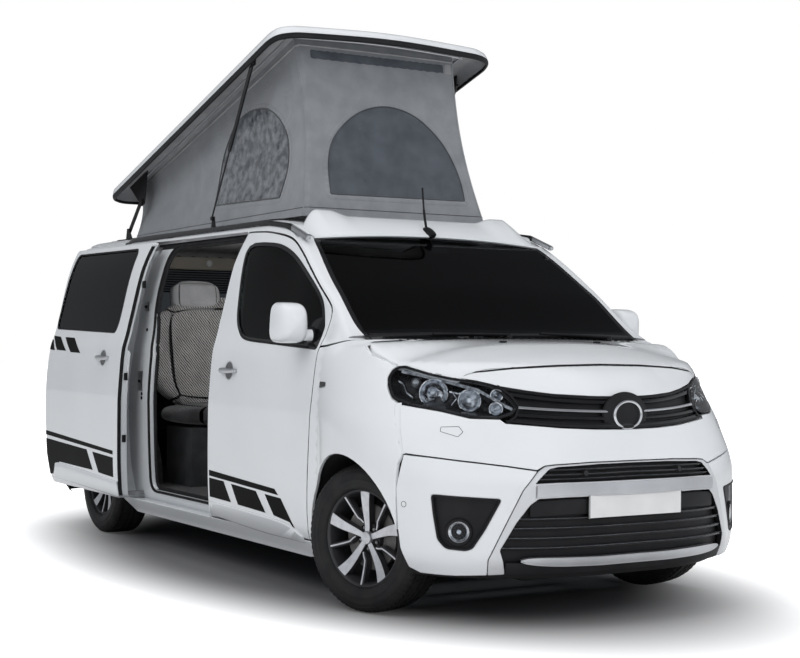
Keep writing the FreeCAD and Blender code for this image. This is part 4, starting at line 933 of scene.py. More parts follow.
def sliding_door():
    v, mv = "right", np.array(SLIDE_MOVE)
    b = Build("sliding_door_shell", "body", "white_paint", "sliding_door")
    outline = rounded(SLIDING_DOOR, 24.0)
    b.panel(v, outline, WHITE, holes=[rounded(SLIDING_PANE, 30.0)], thick=slider_wall, inner=TRIM, rim=JAMB,
            move=mv)
    b.strip(v, rounded(grown(SLIDING_PANE, -4), 30.0), 12.0, 1.5, RUBBER, move=mv)
    moulding(b, v, [(-1062, 417), (-876, 421), (-23, 387), (46, 384)],
             [(-1122, 322), (-700, 312), (8, 291), (46, 290)], mv)
    # rubber along the leading edge
    line = np.array(sorted([q for q in outline if q[0] > 40 and 300 < q[1] < 1790], key=lambda q: q[1]))
    p, d = on_skin(v, line)
    lip = ((2.0, -1.0), (4.0, 5.0), (22.0, 5.0), (26.0, -1.0))
    b.grid([p - d * deep + (out, 0, 0) + mv for deep, out in lip], RUBBER)
    for z in (640.0, 1010.0, 1560.0):
        c = skin_point(v, np.interp(z, line[:, 1], line[:, 0]), z, 44.0)
        b.box(c[0] - 2, c[0] + 5, c[1] - 12, c[1] + 12, z - 22, z + 22, BLACK, 2.0, at=lambda q: q + mv)
    b.done()
    g = Build("sliding_door_pane", "body", "dark_glass", "side_glass")
    g.panel(v, rounded(grown(SLIDING_PANE, -0.5), 30.0), DARK_GLASS, **PANE, move=mv)
    g.done()
    handle(-1, -216.0, 1118.0, "body", "sliding_door_handle", SLIDE_MOVE)


def front_end():
    """Fenders, bonnet and the dark gap ahead of the bonnet, a tube coloured dark as painted shade in the
    seam.
    """
    for side in (-1, 1):
        lamp, _ = on_skin("nose", [(side * a, z) for a, z in LAMP_REAR])
        loop = [(1200, 285), (1198, 420), (1209, 600), (1231, 889), (1257, 1177), (1262, 1203),
                (1340, 1210), (1560, 1247)]
        loop += [(1612, 1246), (1640, 1212), (1697, 1174), (1765, 1151), (1825, 1130)]
        loop += [(p[0], p[2]) for p in lamp]
        loop += [(1919, 955), (2012, 744), (2000, 705)]
        loop += arch_points(FRONT_ARCH_X, FRONT_ARCH, 12, 188)
        loop += [(1228, 250), (1180, 250), (1180, SILL_Z), (1200, SILL_Z)]
        v = HAND[side]
        b = Build("fender_" + v, "body", "white_paint", *(["front_fenders"] if side < 0 else []))
        b.panel(v, rounded(loop, 4.0), WHITE, thick=14.0, inner=DARK, rim=WHITE)
        # side repeater
        b.patch(v, [(1318, 1014), (1396, 1022), (1396, 1044), (1318, 1044)], GLOSSY_BLACK, 3.0, 8.0)
        b.done()
    # bonnet, from above: rear edge, fender line, lamp, seam
    front = [(a, z + 5) for a, z in LAMP_TOP] + [(a, z + 3) for a, z in BONNET_SEAM[-2::-1]]
    half = [(1634, 820), (1628, 850), (1654, 878), (1697, 889), (1765, 866), (1825, 843)]
    half += [(p[0], p[1]) for p in on_skin("nose", front)[0]]
    loop = [(x, -y) for x, y in half] + half[-2::-1] + [(1652, 500), (1658, 0), (1652, -500)]
    b = Build("bonnet_panel", "bonnet", "white_paint", "bonnet")
    b.panel("top", rounded(loop, 8.0), WHITE, thick=22.0, inner=DARK, rim=JAMB)
    b.done()
    g = Build("bonnet_gap", "body", "black_plastic")
    # painted shade: a dark tube sunk in the bonnet's front seam for the dark gap
    line = [(-a, z) for a, z in BONNET_SEAM[::-1]] + BONNET_SEAM[1:]
    p, d = on_skin("nose", line)
    g.tube(p - d * 5.5, 5.0, DARK, 8)
    g.done()


def mirror_loop(half):
    """A closed outline from its left half, listed from the middle's top to the middle's bottom."""
    return half + [(-a, b) for a, b in reversed(half) if abs(a) > 1.0]


# Nose view: 1000 x the angle about (1300, 0), height.
BONNET_SEAM = [(0, 1137), (250, 1133), (480, 1122), (640, 1105), (716, 1083)]
GRILLE_TOP = [(552, 1046), (430, 1026), (318, 1012), (160, 1003), (0, 999)]
GRILLE_LOW = [(0, 860), (160, 863), (300, 870), (420, 881), (523, 890)]
LAMP_TOP = [(995, 1124), (962, 1127), (900, 1112), (837, 1096), (760, 1081), (716, 1074)]
LAMP_REAR = [(1001, 1129), (1026, 1108), (1036, 1076), (1027, 1038), (996, 984), (962, 964)]
LAMP = [(1021, 1043), (1030, 1075), (1020, 1104)] + LAMP_TOP + [
    (640, 1062), (582, 1049), (530, 1015), (497, 985), (474, 952), (500, 925), (544, 908), (659, 911),
    (778, 939), (904, 958), (990, 990)]
SEAM = [(906, 748), (780, 738), (640, 722), (520, 706), (415, 688)]
SURROUND = [(0, 719), (200, 718), (345, 711), (385, 706), (411, 686), (465, 606), (528, 455), (586, 311),
            (589, 243)]
UPPER_MOUTH = [(0, 713), (160, 712), (335, 704), (370, 695), (400, 662), (423, 634), (332, 638), (0, 639)]
LOWER_MOUTH = [(0, 575), (300, 575), (410, 570), (440, 545), (490, 468), (547, 351), (535, 302), (529, 247),
               (0, 252)]
FOG = [(791, 585), (541, 570), (600, 437), (642, 359), (664, 349), (736, 356), (766, 393), (782, 498)]


def front_panels():
    b = Build("front_panels", "body", "white_paint", "front_bumper")
    top = [(a, z - 4) for a, z in BONNET_SEAM] + [(640, 1068), (582, 1055)]
    b.panel("nose", rounded(mirror_loop(top + GRILLE_TOP), 3.0), WHITE, thick=30.0, inner=DARK, rim=JAMB,
            grid=34.0)
    mask = [(a, z - 5) for a, z in GRILLE_LOW]
    mask += [(544, 902), (659, 905), (778, 933), (904, 952), (948, 958), (930, 850), (910, 754)]
    mask += [(a, z + 4) for a, z in SEAM[1:]] + [(386, 710), (345, 715), (200, 722), (0, 723)]
    b.panel("nose", rounded(mirror_loop(mask), 3.0), WHITE, thick=30.0, inner=DARK, rim=JAMB, grid=40.0)
    for s in (-1, 1):
        low = [(a, z - 2) for a, z in SEAM[::-1]]
        low += [(s * a, z) for a, z in to_nose([(2003, 600), (2007, 430), (2012, 345), (2030, 262)], s)]
        low += [(840, 240), (700, 238), (592, 243), (589, 311), (531, 455), (468, 606)]
        b.panel("nose", rounded([(s * a, z) for a, z in low], 4.0), WHITE, thick=30.0, inner=DARK, rim=JAMB,
                grid=40.0, holes=[rounded([(s * a, z) for a, z in FOG], 14.0, 14.0)])
        b.strip("nose", np.array([(s * a, z) for a, z in flow([(957, 966), (938, 850), (914, 748)])]), 30.0,
                -2.5, WHITE, closed=False)
        # washer cover, sensor
        w = rounded([(s * a, z) for a, z in ((768, 869), (700, 872), (683, 850), (701, 829), (769, 850))],
                    4.0, 14.0)
        b.strip("nose", w, 2.0, 0.2, RUBBER)
        for a, z in ((899, 535), (225, 676)):
            c = circle(s * a, z, 10, 12)
            b.patch("nose", c, WHITE if a > 400 else GLOSSY_BLACK, 0.9, grid=20.0)
            b.strip("nose", c, 2.0, 0.9, RUBBER)
    # black undertray behind the lower edge, set there as painted shade under the bumper
    undertray_shade = [(0, 250), (560, 244), (900, 240), (880, 222), (0, 216)]
    b.panel("nose", rounded(mirror_loop(undertray_shade), 4.0), BLACK, thick=14.0, depth=52.0, inner=DARK, grid=60.0)
    b.done()
    for s in (-1, 1):
        fog_lamp(s, [(s * a, z) for a, z in FOG])


def fog_lamp(s, outline):
    b = Build("fog_lamp_" + HAND[s], "body", "black_plastic")
    b.panel("nose", rounded(grown(outline, -1.0), 14.0, 14.0), BLACK, depth=16.0, thick=8.0, grid=30.0)
    b.strip("nose", rounded(grown(outline, -3.0), 14.0, 14.0), 7.0, 3.0, BLACK)
    (c,), (d,) = on_skin("nose", [(s * 691, 427)], 14.0)
    b.lathe([(46, 4), (47, 9), (56, 12), (60, 4), (60, -10)], c, d, BLACK, 40)
    b.lathe([(0, 9.0), (24, 8.0), (40, 5.0), (46, 2.0)], c, d, LENS, 36)
    b.lathe([(0, -12), (14, -11), (30, -6), (43, 4)], c, d, REFLECTOR, 36)
    b.lathe([(0, 2), (7, 1), (11, -3), (12, -12)], c, d, BULB, 24)
    b.lathe([(41, 6), (44, 9), (47, 7)], c, d, CHROME, 40)
    b.done()


def headlamp(s):
    b = Build("headlamp_" + HAND[s], "body", "lamp", *(["headlamps"] if s < 0 else []))
    loop = rounded([(s * a, z) for a, z in LAMP], 8.0, 12.0)
    b.panel("nose", inset(loop, 2.0), LENS, depth=1.0, thick=0.0, grid=30.0)
    # housing: a dark pan behind the lens with side walls
    pts, tris = fill(inset(loop, 4.0), [], 26.0)
    p, d = on_skin("nose", pts, 8.0)
    dist, _ = boundary_distance(pts, [inset(loop, 4.0)])
    sink = 62.0 * np.clip(dist / 22.0, 0, 1) ** 0.6
    q = p - d * sink[:, None]
    b.add(q, tris if s > 0 else tris[:, ::-1], HOUSING)
    b.strip("nose", inset(loop, 5.0), 9.0, 0.2, HOUSING, depth=4.0)
    # two round reflectors, two small ones at the tip, and the running light along the upper edge
    for a, z, r, deep in ((823, 1010, 60.0, 44.0), (668, 980, 47.0, 40.0), (560, 946, 27.0, 26.0),
                          (556, 1004, 24.0, 26.0)):
        c = skin_point("nose", s * a, z, deep)
        face = np.array([0.86, s * 0.50, 0.0])
        b.lathe([(r * 0.20, -18), (r * 0.55, -12), (r * 0.86, 2), (r, 16), (r + 4, 15), (r + 3, 4)], c,
                face, REFLECTOR, 40)
        b.lathe([(0, 4), (r * 0.15, 3), (r * 0.24, -2), (r * 0.26, -18)], c, face, BULB, 28)
    for line, up, deep in (([(978, 1103), (885, 1088), (792, 1068), (706, 1046), (632, 1026), (570, 990),
                             (520, 958), (492, 945)], 8, 12.0),
                           ([(985, 1060), (960, 1048), (935, 1010), (905, 990)], 5, 20.0),
                           ([(750, 1018), (712, 1010), (660, 1026), (625, 1012)], 4, 16.0),
                           ([(738, 960), (718, 990), (742, 1020)], 4, 18.0)):
        b.grid([on_skin("nose", [(s * a, z + dz) for a, z in line], dep)[0]
                for dz, dep in ((-up, deep + 14), (-up + 1, deep + 2), (up - 1, deep), (up, deep + 14))],
               REFLECTOR)
    c = skin_point("nose", s * 905, 1052, 30.0)
    b.lathe([(0, 8), (14, 6), (20, 0), (24, -8)], c, np.array([0.75, s * 0.66, 0.0]), SATIN, 24)
    b.strip("nose", loop, 4.0, 0.3, RUBBER)
    b.done()


def upper_grille():
    b = Build("upper_grille_bars", "body", "black_plastic", "upper_grille")
    top = [(a, z - 3) for a, z in GRILLE_TOP[::-1]]
    half = top + [(500, 1002), (470, 956), (488, 915), (520, 893)]
    half += [(a, z + 2) for a, z in GRILLE_LOW[-2::-1]]
    b.panel("nose", rounded(mirror_loop(half), 3.0), BLACK, depth=24.0, thick=10.0, grid=60.0)
    b.strip("nose", inset(rounded(mirror_loop(half), 4.0), 4.0), 9.0, 1.0, BLACK)

    def bar(z_mid, z_end, end, height, lift, m, start=0.0):
        """A slat from start to end (nose angle), its height going from the middle's to the end's."""
        for s in (-1, 1):
            a = np.linspace(start, end, 26)
            z = z_mid + (z_end - z_mid) * (a / end) ** 2
            b.grid([on_skin("nose", np.stack([s * a, z + dz], 1), dep)[0]
                    for dz, dep in ((-height / 2, 22.0), (-height / 2, -lift + 2), (-height / 2 + 2, -lift),
                                    (height / 2 - 2, -lift), (height / 2, -lift + 2), (height / 2, 22.0))], m)
    bar(974, 1012, 520, 16.0, -5.0, GLOSSY_BLACK)
    bar(936, 955, 470, 11.0, 4.0, CHROME, 55)
    bar(905, 924, 480, 14.0, -5.0, GLOSSY_BLACK)
    bar(877, 902, 505, 14.0, -5.0, GLOSSY_BLACK)
    c = skin_point("nose", 0, 920, 8.0) + (2, 0, 0)
    wide = np.array([1.0, 1.26, 1.0])
    b.lathe([(0, 10), (60, 10), (72, 8), (84, 2), (98, -2), (101, -10)], c, (1, 0, 0), BLACK, 56,
            at=lambda q: q * wide)
    b.lathe([(53, 11), (55, 18), (60, 20), (65, 17), (66, 10)], c, (1, 0, 0), CHROME, 64,
            at=lambda q: q * wide)
    b.done()


def lower_grille():
    b = Build("lower_grille_bars", "body", "black_plastic", "lower_grille")
    for loop in (UPPER_MOUTH, LOWER_MOUTH):
        b.panel("nose", rounded(grown(mirror_loop(loop), 4.0), 6.0, 18.0), BLACK, depth=30.0, thick=8.0,
                grid=60.0)
    # silver surround down both sides, joined by the band between the two openings
    surround = SURROUND + [(529, 247), (535, 302), (547, 351), (490, 468), (440, 545), (410, 570),
                           (300, 575), (0, 575)]
    b.panel("nose", rounded(mirror_loop(surround), 6.0, 18.0), SILVER, depth=-1.0, thick=26.0, inner=BLACK,
            rim=BLACK, grid=40.0, holes=[rounded(mirror_loop(UPPER_MOUTH), 6.0, 18.0)])

    def bar(line, height, lift, m, taper=0.0):
        """A bar that follows line (angle, height) on one side and its mirror image on the other."""
        half = np.array(line, float)
        a = np.linspace(-half[-1, 0], half[-1, 0], 49)
        z = np.interp(np.abs(a), half[:, 0], half[:, 1])
        tall = height / 2 * np.sqrt(1 - taper * np.clip(np.abs(a) / half[-1, 0], 0, 1) ** 8)
        b.grid([on_skin("nose", np.stack([a, z + f * tall], 1), dep)[0]
                for f, dep in ((-1, 24.0), (-1, 2 - lift), (-0.7, -0.8 * lift), (0, -lift),
                               (0.7, -0.8 * lift), (1, 2 - lift), (1, 24.0))], m)
    for z, end in ((692, 372), (671, 392), (652, 405)):
        bar([(0, z), (end, z - 4)], 7.0, -8.0, GLOSSY_BLACK)
        bar([(0, z + 4), (end, z)], 1.6, -6.5, SATIN)
    bar([(0, 607), (300, 607), (418, 601)], 52.0, 13.0, SATIN)
    bar([(0, 534), (300, 533), (440, 526)], 66.0, -8.0, BLACK)
    for z, end in ((480, 478), (440, 498), (398, 519), (356, 538)):
        bar([(0, z), (end, z)], 9.0, -8.0, GLOSSY_BLACK)
        bar([(0, z + 5), (end, z + 5)], 1.8, -6.5, SATIN)
    bar([(0, 271), (300, 272), (526, 272)], 50.0, 0.0, BLACK)
    bar([(0, 295), (160, 295), (329, 300), (474, 307)], 40.0, 14.0, SATIN, 0.96)
    b.done()
    p = Build("licence_plate_blank", "body", "plate", "licence_plate")
    lo, hi = [np.array(v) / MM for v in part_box("licence_plate")]
    p.box(lo[0], hi[0] - 2.0, lo[1], hi[1], lo[2], hi[2], PLATE, 1.5)
    for z0, z1, y0, y1 in ((lo[2], lo[2] + 3, lo[1], hi[1]), (hi[2] - 3, hi[2], lo[1], hi[1]),
                           (lo[2], hi[2], lo[1], lo[1] + 3), (lo[2], hi[2], hi[1] - 3, hi[1])):
        p.box(hi[0] - 3.0, hi[0] - 0.8, y0, y1, z0, z1, BLACK, 0.8)
    p.done()


def windscreen():
    b = Build("windscreen_pane", "body", "glass", "windscreen")
    # front view y, z
    half = [(0, 1795), (300, 1791), (630, 1780)] + flow(SCREEN_EDGE, 4) + [(500, 1270), (0, 1270)]
    outline = rounded(mirror_loop(half), 10.0)
    b.panel("front", outline, SCREEN_GLASS, depth=4.0, thick=4.5, grid=45.0)
    b.strip("front", inset(outline, 12.0), 26.0, 0.2, GLOSSY_BLACK, depth=3.2)
    b.strip("front", inset(outline, -3.0), 9.0, 1.0, RUBBER, depth=2.0)
    # sensor housing at the top
    b.patch("front", [(-70, 1788), (70, 1788), (50, 1700), (-50, 1700)], GLOSSY_BLACK, 0.4, 12.0, depth=9.0)
    b.done()


def cowl():
    b = Build("cowl_cover", "body", "black_plastic", "cowl")
    ys = np.linspace(-820, 820, 61)
    rows = []
    for back, drop in ((1560, 6), (1590, 0), (1612, 0), (1634, 12), (1636, 40)):
        xs = back - 8 + 16 * (1 - (ys / 820) ** 2)
        o = np.stack([np.minimum(xs, 1625), ys, np.full(len(ys), 1000.0)], 1)
        z = 1000.0 + cast(o, np.tile([0, 0, 1.0], (len(ys), 1)), 500.0) - drop
        rows.append(np.stack([xs, ys, z], 1))
    b.grid(rows, BLACK)
    for y in range(-680, 700, 40):
        p, _ = on_skin("top", [(1588, y), (1612, y)], -1.0)
        b.tube(np.array([p[0], (p[0] + p[1]) / 2 + (0, 0, 1), p[1]]), 2.6, RUBBER, 6)
    # wipers: arm and blade, parked low on the screen
    for pivot, arm, tip0, tip1 in (((1590, 560), (1560, 150), (1548, 620), (1575, -80)),
                                   ((1590, -60), (1565, -480), (1560, -90), (1540, -700))):
        pts, _ = on_skin("top", [pivot, ((pivot[0] + arm[0]) / 2, (pivot[1] + arm[1]) / 2), arm], -16.0)
        b.tube(pts, 7.0, BLACK, 8)
        b.lathe([(0, 26), (14, 24), (17, 18), (17, -6)], pts[0] - (0, 0, 18), (0, 0, 1), BLACK, 20)
        line = [(tip0[0] + (tip1[0] - tip0[0]) * t, tip0[1] + (tip1[1] - tip0[1]) * t)
                for t in np.linspace(0, 1, 14)]
        q, _ = on_skin("top", line, -7.0)
        b.tube(q, 5.0, BLACK, 8)
        q, _ = on_skin("top", line, -1.5)
        b.tube(q, 2.6, RUBBER, 6)
    b.done()
    w = Build("washer_nozzles", "bonnet", "black_plastic")
    for y in (-277, 277):
        z = skin_point("top", 1850, y)[2]
        w.box(1836, 1862, y - 16, y + 16, z - 3, z + 9, BLACK, 4.0)
    w.done()


# ------------------------------------------------------------------ wheels
def wheel_place(s, front):
    """From the wheel's own frame (x sideways, y outwards, z up) to the vehicle's."""
    turn = math.radians(STEER) if front else 0.0
    if front:
        middle = np.array([FRONT_AXLE, s * KINGPIN_Y, TYRE_R])
        arm = s * (FRONT_TRACK / 2 - KINGPIN_Y)
        middle += (-math.sin(turn) * arm, math.cos(turn) * arm, 0)
    else:
        middle = np.array([REAR_AXLE, s * REAR_TRACK / 2, TYRE_R])
    c, n = math.cos(turn), math.sin(turn)

    def at(q):
        q = np.asarray(q, float)
        x, y = q[:, 0] * s, q[:, 1] * s
        return np.stack([middle[0] + c * x - n * y, middle[1] + n * x + c * y, middle[2] + q[:, 2]], 1)
    return at


def ring_bar(b, points, width, top, deep, m_top, m_side, at):
    """A raised bar along points (radius, degrees) with a width at each, its face at y top."""
    p = np.array([(r * math.sin(math.radians(a)), r * math.cos(math.radians(a))) for r, a in points])
    d = np.gradient(p, axis=0)
    d /= np.linalg.norm(d, axis=1, keepdims=True)
    n = np.stack([-d[:, 1], d[:, 0]], 1)
    w = np.asarray(width, float)[:, None] / 2
    y = np.asarray(top, float) if np.ndim(top) else np.full(len(p), float(top))

    def row(off, dy):
        q = p + n * off
        return np.stack([q[:, 0], y + dy, q[:, 1]], 1)
    b.grid([row(w, -1.2), row(w - 1.2, 0), row(-(w - 1.2), 0), row(-w, -1.2)], m_top, turned=True, at=at)
    b.grid([row(w, -1.2), row(w + 2.0, -deep)], m_side, at=at)
    b.grid([row(-(w + 2.0), -deep), row(-w, -1.2)], m_side, at=at)


def wheel(s, front):
    end, hand = "front" if front else "rear", HAND[s]
    body_name = f"{end}_wheel_{hand}"
    at = wheel_place(s, front)
    b = Build(f"rim_{end}_{hand}", body_name, "alloy", f"{end}_rim_{hand}")
    out = 92.0
    hub, axle = (0, 0, 0), (0, 1, 0)
    # barrel, lip and the dark floor between the spokes' feet, in the dark pocket paint; on the barrel this
    # dark is painted shade for the dim inside of the wheel
    b.lathe([(203, -96), (208, -60), (200, 20), (202, 66), (209, out - 8)], hub, axle, POCKET_PAINT_AND_SHADE, 72, at=at)
    b.lathe([(209, out - 8), (214, out - 1), (220, out + 1), (223, out - 4), (222, out - 14)], hub, axle,
            POCKET_PAINT_AND_SHADE, 96, at=at)
    b.lathe([(222, -out), (216, -out - 4), (206, -out), (203, -96 + 10)], hub, axle, POCKET_PAINT_AND_SHADE, 72, at=at)
    b.lathe([(0, 50), (30, 50), (66, 46), (74, 30), (74, 0), (0, 0)], hub, axle, POCKET_PAINT_AND_SHADE, 60, at=at)
    rs = np.linspace(30, 215, 12)
    widths, tops = 26 + 30 * ((rs - 30) / 185) ** 1.2, 62 + 28 * ((rs - 30) / 185) ** 1.6
    kink = [(70, -20), (86, -27), (104, -34.5), (130, -35.5), (175, -36), (215, -36)]
    rise = ((np.array([r for r, _ in kink]) - 30) / 178) ** 1.6
    for i in range(5):
        a0 = 72.0 * i - 3.0
        ring_bar(b, [(r, a0 + 2.5 * math.sin(math.pi * (r - 30) / 185)) for r in rs], widths, tops, 34,
                 MACHINED, POCKET_PAINT_AND_SHADE, at)
        thin = [(r, a0 - a) for r, a in kink]
        ring_bar(b, thin, [7, 7.5, 8, 8, 8.5, 9], 60 + 27 * rise, 3, MACHINED, POCKET_PAINT_AND_SHADE, at)
        ring_bar(b, thin, [16, 17, 18, 19, 20, 22], 56 + 26 * rise, 30, POCKET_PAINT_AND_SHADE, POCKET_PAINT_AND_SHADE, at)
        ring_bar(b, [(215.5, a0 + t) for t in np.linspace(5, 37, 12)], [5.0] * 12, 88.0, 8, MACHINED,
                 POCKET_PAINT_AND_SHADE, at)
        # wheel bolt in its well
        c = np.array([51 * math.sin(math.radians(a0 + 36)), 0, 51 * math.cos(math.radians(a0 + 36))])
        b.lathe([(13, 51.5), (12, 47), (11, 40), (0, 40)], c, axle, GLOSSY_BLACK, 20, at=at)
        b.lathe([(0, 53), (5, 53), (8.5, 50), (9, 40)], c, axle, STEEL, 6, at=at)
    b.lathe([(0, 71), (12, 71), (13, 70), (20, 70), (21, 71), (27, 70.4), (30, 66), (31, 52)], hub, axle,
            MACHINED, 48, at=at)
    b.done()
    t = Build(f"tyre_{end}_{hand}", body_name, "tyre", f"{end}_tyre_{hand}")
    half = 112.5
    side_rows = [(221, half - 20), (226, half - 11), (234, half - 6), (247, half - 3), (262, half - 1),
                 (264, half + 0.0),
                 (267, half + 0.0), (269, half - 1), (288, half - 1.5), (306, half - 5), (309, half - 8),
                 (312, half - 7), (322, half - 13)]
    tread = [(329, half - 19), (334, half - 27), (337, half - 38), (329.5, half - 39), (329.5, half - 47),
             (338.5, half - 48), (339.6, 22), (331, 21), (331, 12), (339.8, 11)]
    profile = side_rows + tread + [(r, -y) for r, y in reversed(side_rows + tread)]
    steps = 216
    u = np.radians(np.linspace(0, 360, steps, endpoint=False))
    rows = []
    for r, y in profile:
        cut = np.zeros(steps)
        if 318 < r < 339 and half - 40 < abs(y) < half - 11:
            cut = np.where(np.arange(steps) % 3 == 0, 4.5, 0.0)
        elif r > 336:
            cut = np.where((np.arange(steps) + (2 if y > 0 else 1)) % 6 == 0, 3.5, 0.0)
        rr = r - cut
        rows.append(np.stack([rr * np.sin(u), np.full(steps, y), rr * np.cos(u)], 1))
    t.grid(rows, TYRE, closed=True, turned=True, at=at)
    t.done()


def arch_lips():
    """Black edge and inner skin of each wheel arch."""
    for s in (-1, 1):
        b = Build("arch_linings_" + HAND[s], "body", "black_plastic",
                  *(["wheel_arch_liners"] if s < 0 else []))
        for cx, radius, span, deep in ((FRONT_ARCH_X, FRONT_ARCH, (-3, 186), 330.0),
                                       (REAR_AXLE, REAR_ARCH, (-8, 188), 250.0)):
            a = np.radians(np.linspace(*span, 49))
            edge = np.stack([cx + radius * np.cos(a), TYRE_R + radius * np.sin(a)], 1)
            out = np.abs(on_skin(HAND[s], edge)[0][:, 1])
            b.grid([np.stack([cx + (radius + dr) * np.cos(a), (out - dy) * s,
                              TYRE_R + (radius + dr) * np.sin(a)], 1)
                    for dr, dy in ((0.0, 20.0), (6.0, 22.0), (6.0, deep), (-30.0, deep + 2.0))], DARK)
        b.done()


# ------------------------------------------------------------------ mirrors, rails, roof
def blob(b, centre, size, power, m, shape=None, steps=28):
    """A rounded block: a superellipsoid of half sizes size."""
    us = np.linspace(-math.pi / 2, math.pi / 2, steps // 2 + 1)
    vs = np.linspace(-math.pi, math.pi, steps, endpoint=False)

    def f(t):
        return np.sign(t) * np.abs(t) ** power
    uu, vv = np.meshgrid(us, vs, indexing="ij")
    p = np.stack([size[0] * f(np.cos(uu)) * f(np.cos(vv)), size[1] * f(np.cos(uu)) * f(np.sin(vv)),
                  size[2] * f(np.sin(uu))], -1)
    p = p.reshape(-1, 3)
    if shape is not None:
        p = shape(p)
    b.grid((p + np.array(centre)).reshape(-1, steps, 3), m, closed=True)


def mirror(s):
    """The outline of the head in side view, filled out across, on a short arm."""
    b = Build("mirror_" + HAND[s], "front_door_" + HAND[s], "white_paint", "door_mirror_" + HAND[s])
    y = s * 1021.0
    us = np.linspace(0, 2 * math.pi, 40, endpoint=False)
    c, n = np.cos(us), np.sin(us)
    rows = []
    for t in np.linspace(0, 1, 13):        # from the glass side (rear) to the rounded front
        swell = math.sqrt(max(0.0, 1 - (max(0.0, t - 0.12) / 0.89) ** 3.4))
        top = 1322 - 6 * t
        yy = y + 78 * swell * np.sign(c) * np.abs(c) ** 0.5
        zz = top + 98 * swell * np.sign(n) * np.abs(n) ** 0.5
        yy = yy + s * 10 * np.clip((zz - top) / 98, 0, 1) * np.clip(s * (y - yy) / 78, 0, 1)
        rows.append(np.stack([np.full(40, 1082 + 156 * t) + 10 * (zz - 1318) / 94 * (1 - t), yy, zz], 1))
    k = len(us)
    b.add(np.concatenate(rows), grid_quads(13, k, closed=True) + [tuple(range(12 * k, 13 * k))], WHITE)
    rim = rows[0]
    centre = rim.mean(0)
    inner = centre + (rim - centre) * 0.92
    b.grid([rim, inner, inner + (6, 0, 0)], BLACK, closed=True, turned=True)
    b.add(centre + (rim - centre) * 0.90 + (6, 0, 0), [tuple(range(k))[::-1]], MIRROR)
    # arm from the corner plate, painted, with a black foot
    b.tube([(1172, s * 922, 1262), (1168, s * 955, 1262), (1160, s * 1010, 1266)], 28.0, WHITE, 18)
    blob(b, (1152, s * 912, 1262), (36, 20, 40), 0.7, GLOSSY_BLACK)
    b.done()


def roof_panel():
    b = Build("roof_panel", "body", "white_paint", "fixed_roof")
    half = [(-2378, 0), (-2374, 400), (-2350, 660), (-2300, 752), (-2200, 762), (-1500, 764), (0, 764),
            (400, 762), (560, 758), (660, 742), (740, 700), (766, 640), (752, 300), (746, 0)]
    loop = rounded([(x, -y) for x, y in half] + [(x, y) for x, y in reversed(half) if y > 0], 12.0, 40.0)
    x0, x1, w = -1905.0, 440.0, 575.0
    hatch = rounded([(x0, -w), (x1, -w), (x1, w), (x0, w)], 60.0, 40.0)
    b.panel("top", loop, WHITE, holes=[hatch], thick=40.0, inner=LINING, rim=LINING, grid=60.0)
    # two shallow swages beside the hatch and the seal that the lifting roof sits on
    for s in (-1, 1):
        b.strip("top", np.array([(x, s * 676.0) for x in np.linspace(-2100, 470, 30)]), 12.0, 2.2, WHITE,
                closed=False)
    seal = rounded([(-2030, -640), (-1980, -688), (470, -688), (520, -600), (530, 0), (520, 600),
                    (470, 688), (-1980, 688), (-2030, 640)], 30.0, 40.0)
    b.strip("top", seal, 15.0, 4.5, RUBBER)
    b.done()


def roof_fittings():
    """Rails with their feet, and the aerial."""
    for s in (-1, 1):
        b = Build("roof_rail_" + HAND[s], "body", "rail", *(["roof_rails"] if s < 0 else []))
        xs = np.concatenate([np.linspace(-1600, -1480, 8), np.linspace(-1400, 380, 30),
                             np.linspace(420, 830, 22)])
        zs = np.interp(xs, [-1600, -1560, -1480, 380, 640, 830], [1838, 1852, 1868, 1868, 1836, 1770])
        section = ((-14, -24), (-14, -6), (-11, -1), (-5, 1.5), (5, 1.5), (11, -1), (14, -6), (14, -24))
        k = len(xs)
        verts = [np.stack([xs, np.full(k, s * RAIL_Y + off), zs + dz], 1) for off, dz in section]
        verts = np.concatenate(verts)
        quads = grid_quads(len(section), k)
        b.add(verts, [q for q in quads if q[0] % k <= k - 10], GLOSSY_BLACK)
        b.add(verts, [q for q in quads if q[0] % k > k - 10], SATIN)
        blob(b, (-1600, s * RAIL_Y, 1826), (24, 15, 22), 0.7, GLOSSY_BLACK)
        blob(b, (830, s * RAIL_Y, 1756), (18, 13, 12), 0.7, SATIN)
        for x in (-900, -200, 350):
            b.box(x - 40, x + 40, s * RAIL_Y - 13, s * RAIL_Y + 13, 1838, 1850, BLACK, 4.0)
        b.done()
    a = Build("roof_antenna", "body", "black_plastic")

    def fin(p):
        q = p.copy()
        q[:, 0] *= 1.0 - 0.45 * np.clip(p[:, 2] / 26.0, -0.4, 1)
        q[:, 0] -= 0.55 * np.clip(p[:, 2], 0, 40)
        return q
    blob(a, (762, 0, 1812), (58, 24, 34), 0.8, BLACK, shape=fin)
    a.tube([(742, 0, 1838), (728, 0, 1885), (716, 0, 1940)], 7.0, BLACK, 10)
    a.tube([(717, 0, 1936), (710, 0, 1985), (700, 0, 2058)], 5.2, BLACK, 10)
    a.done()


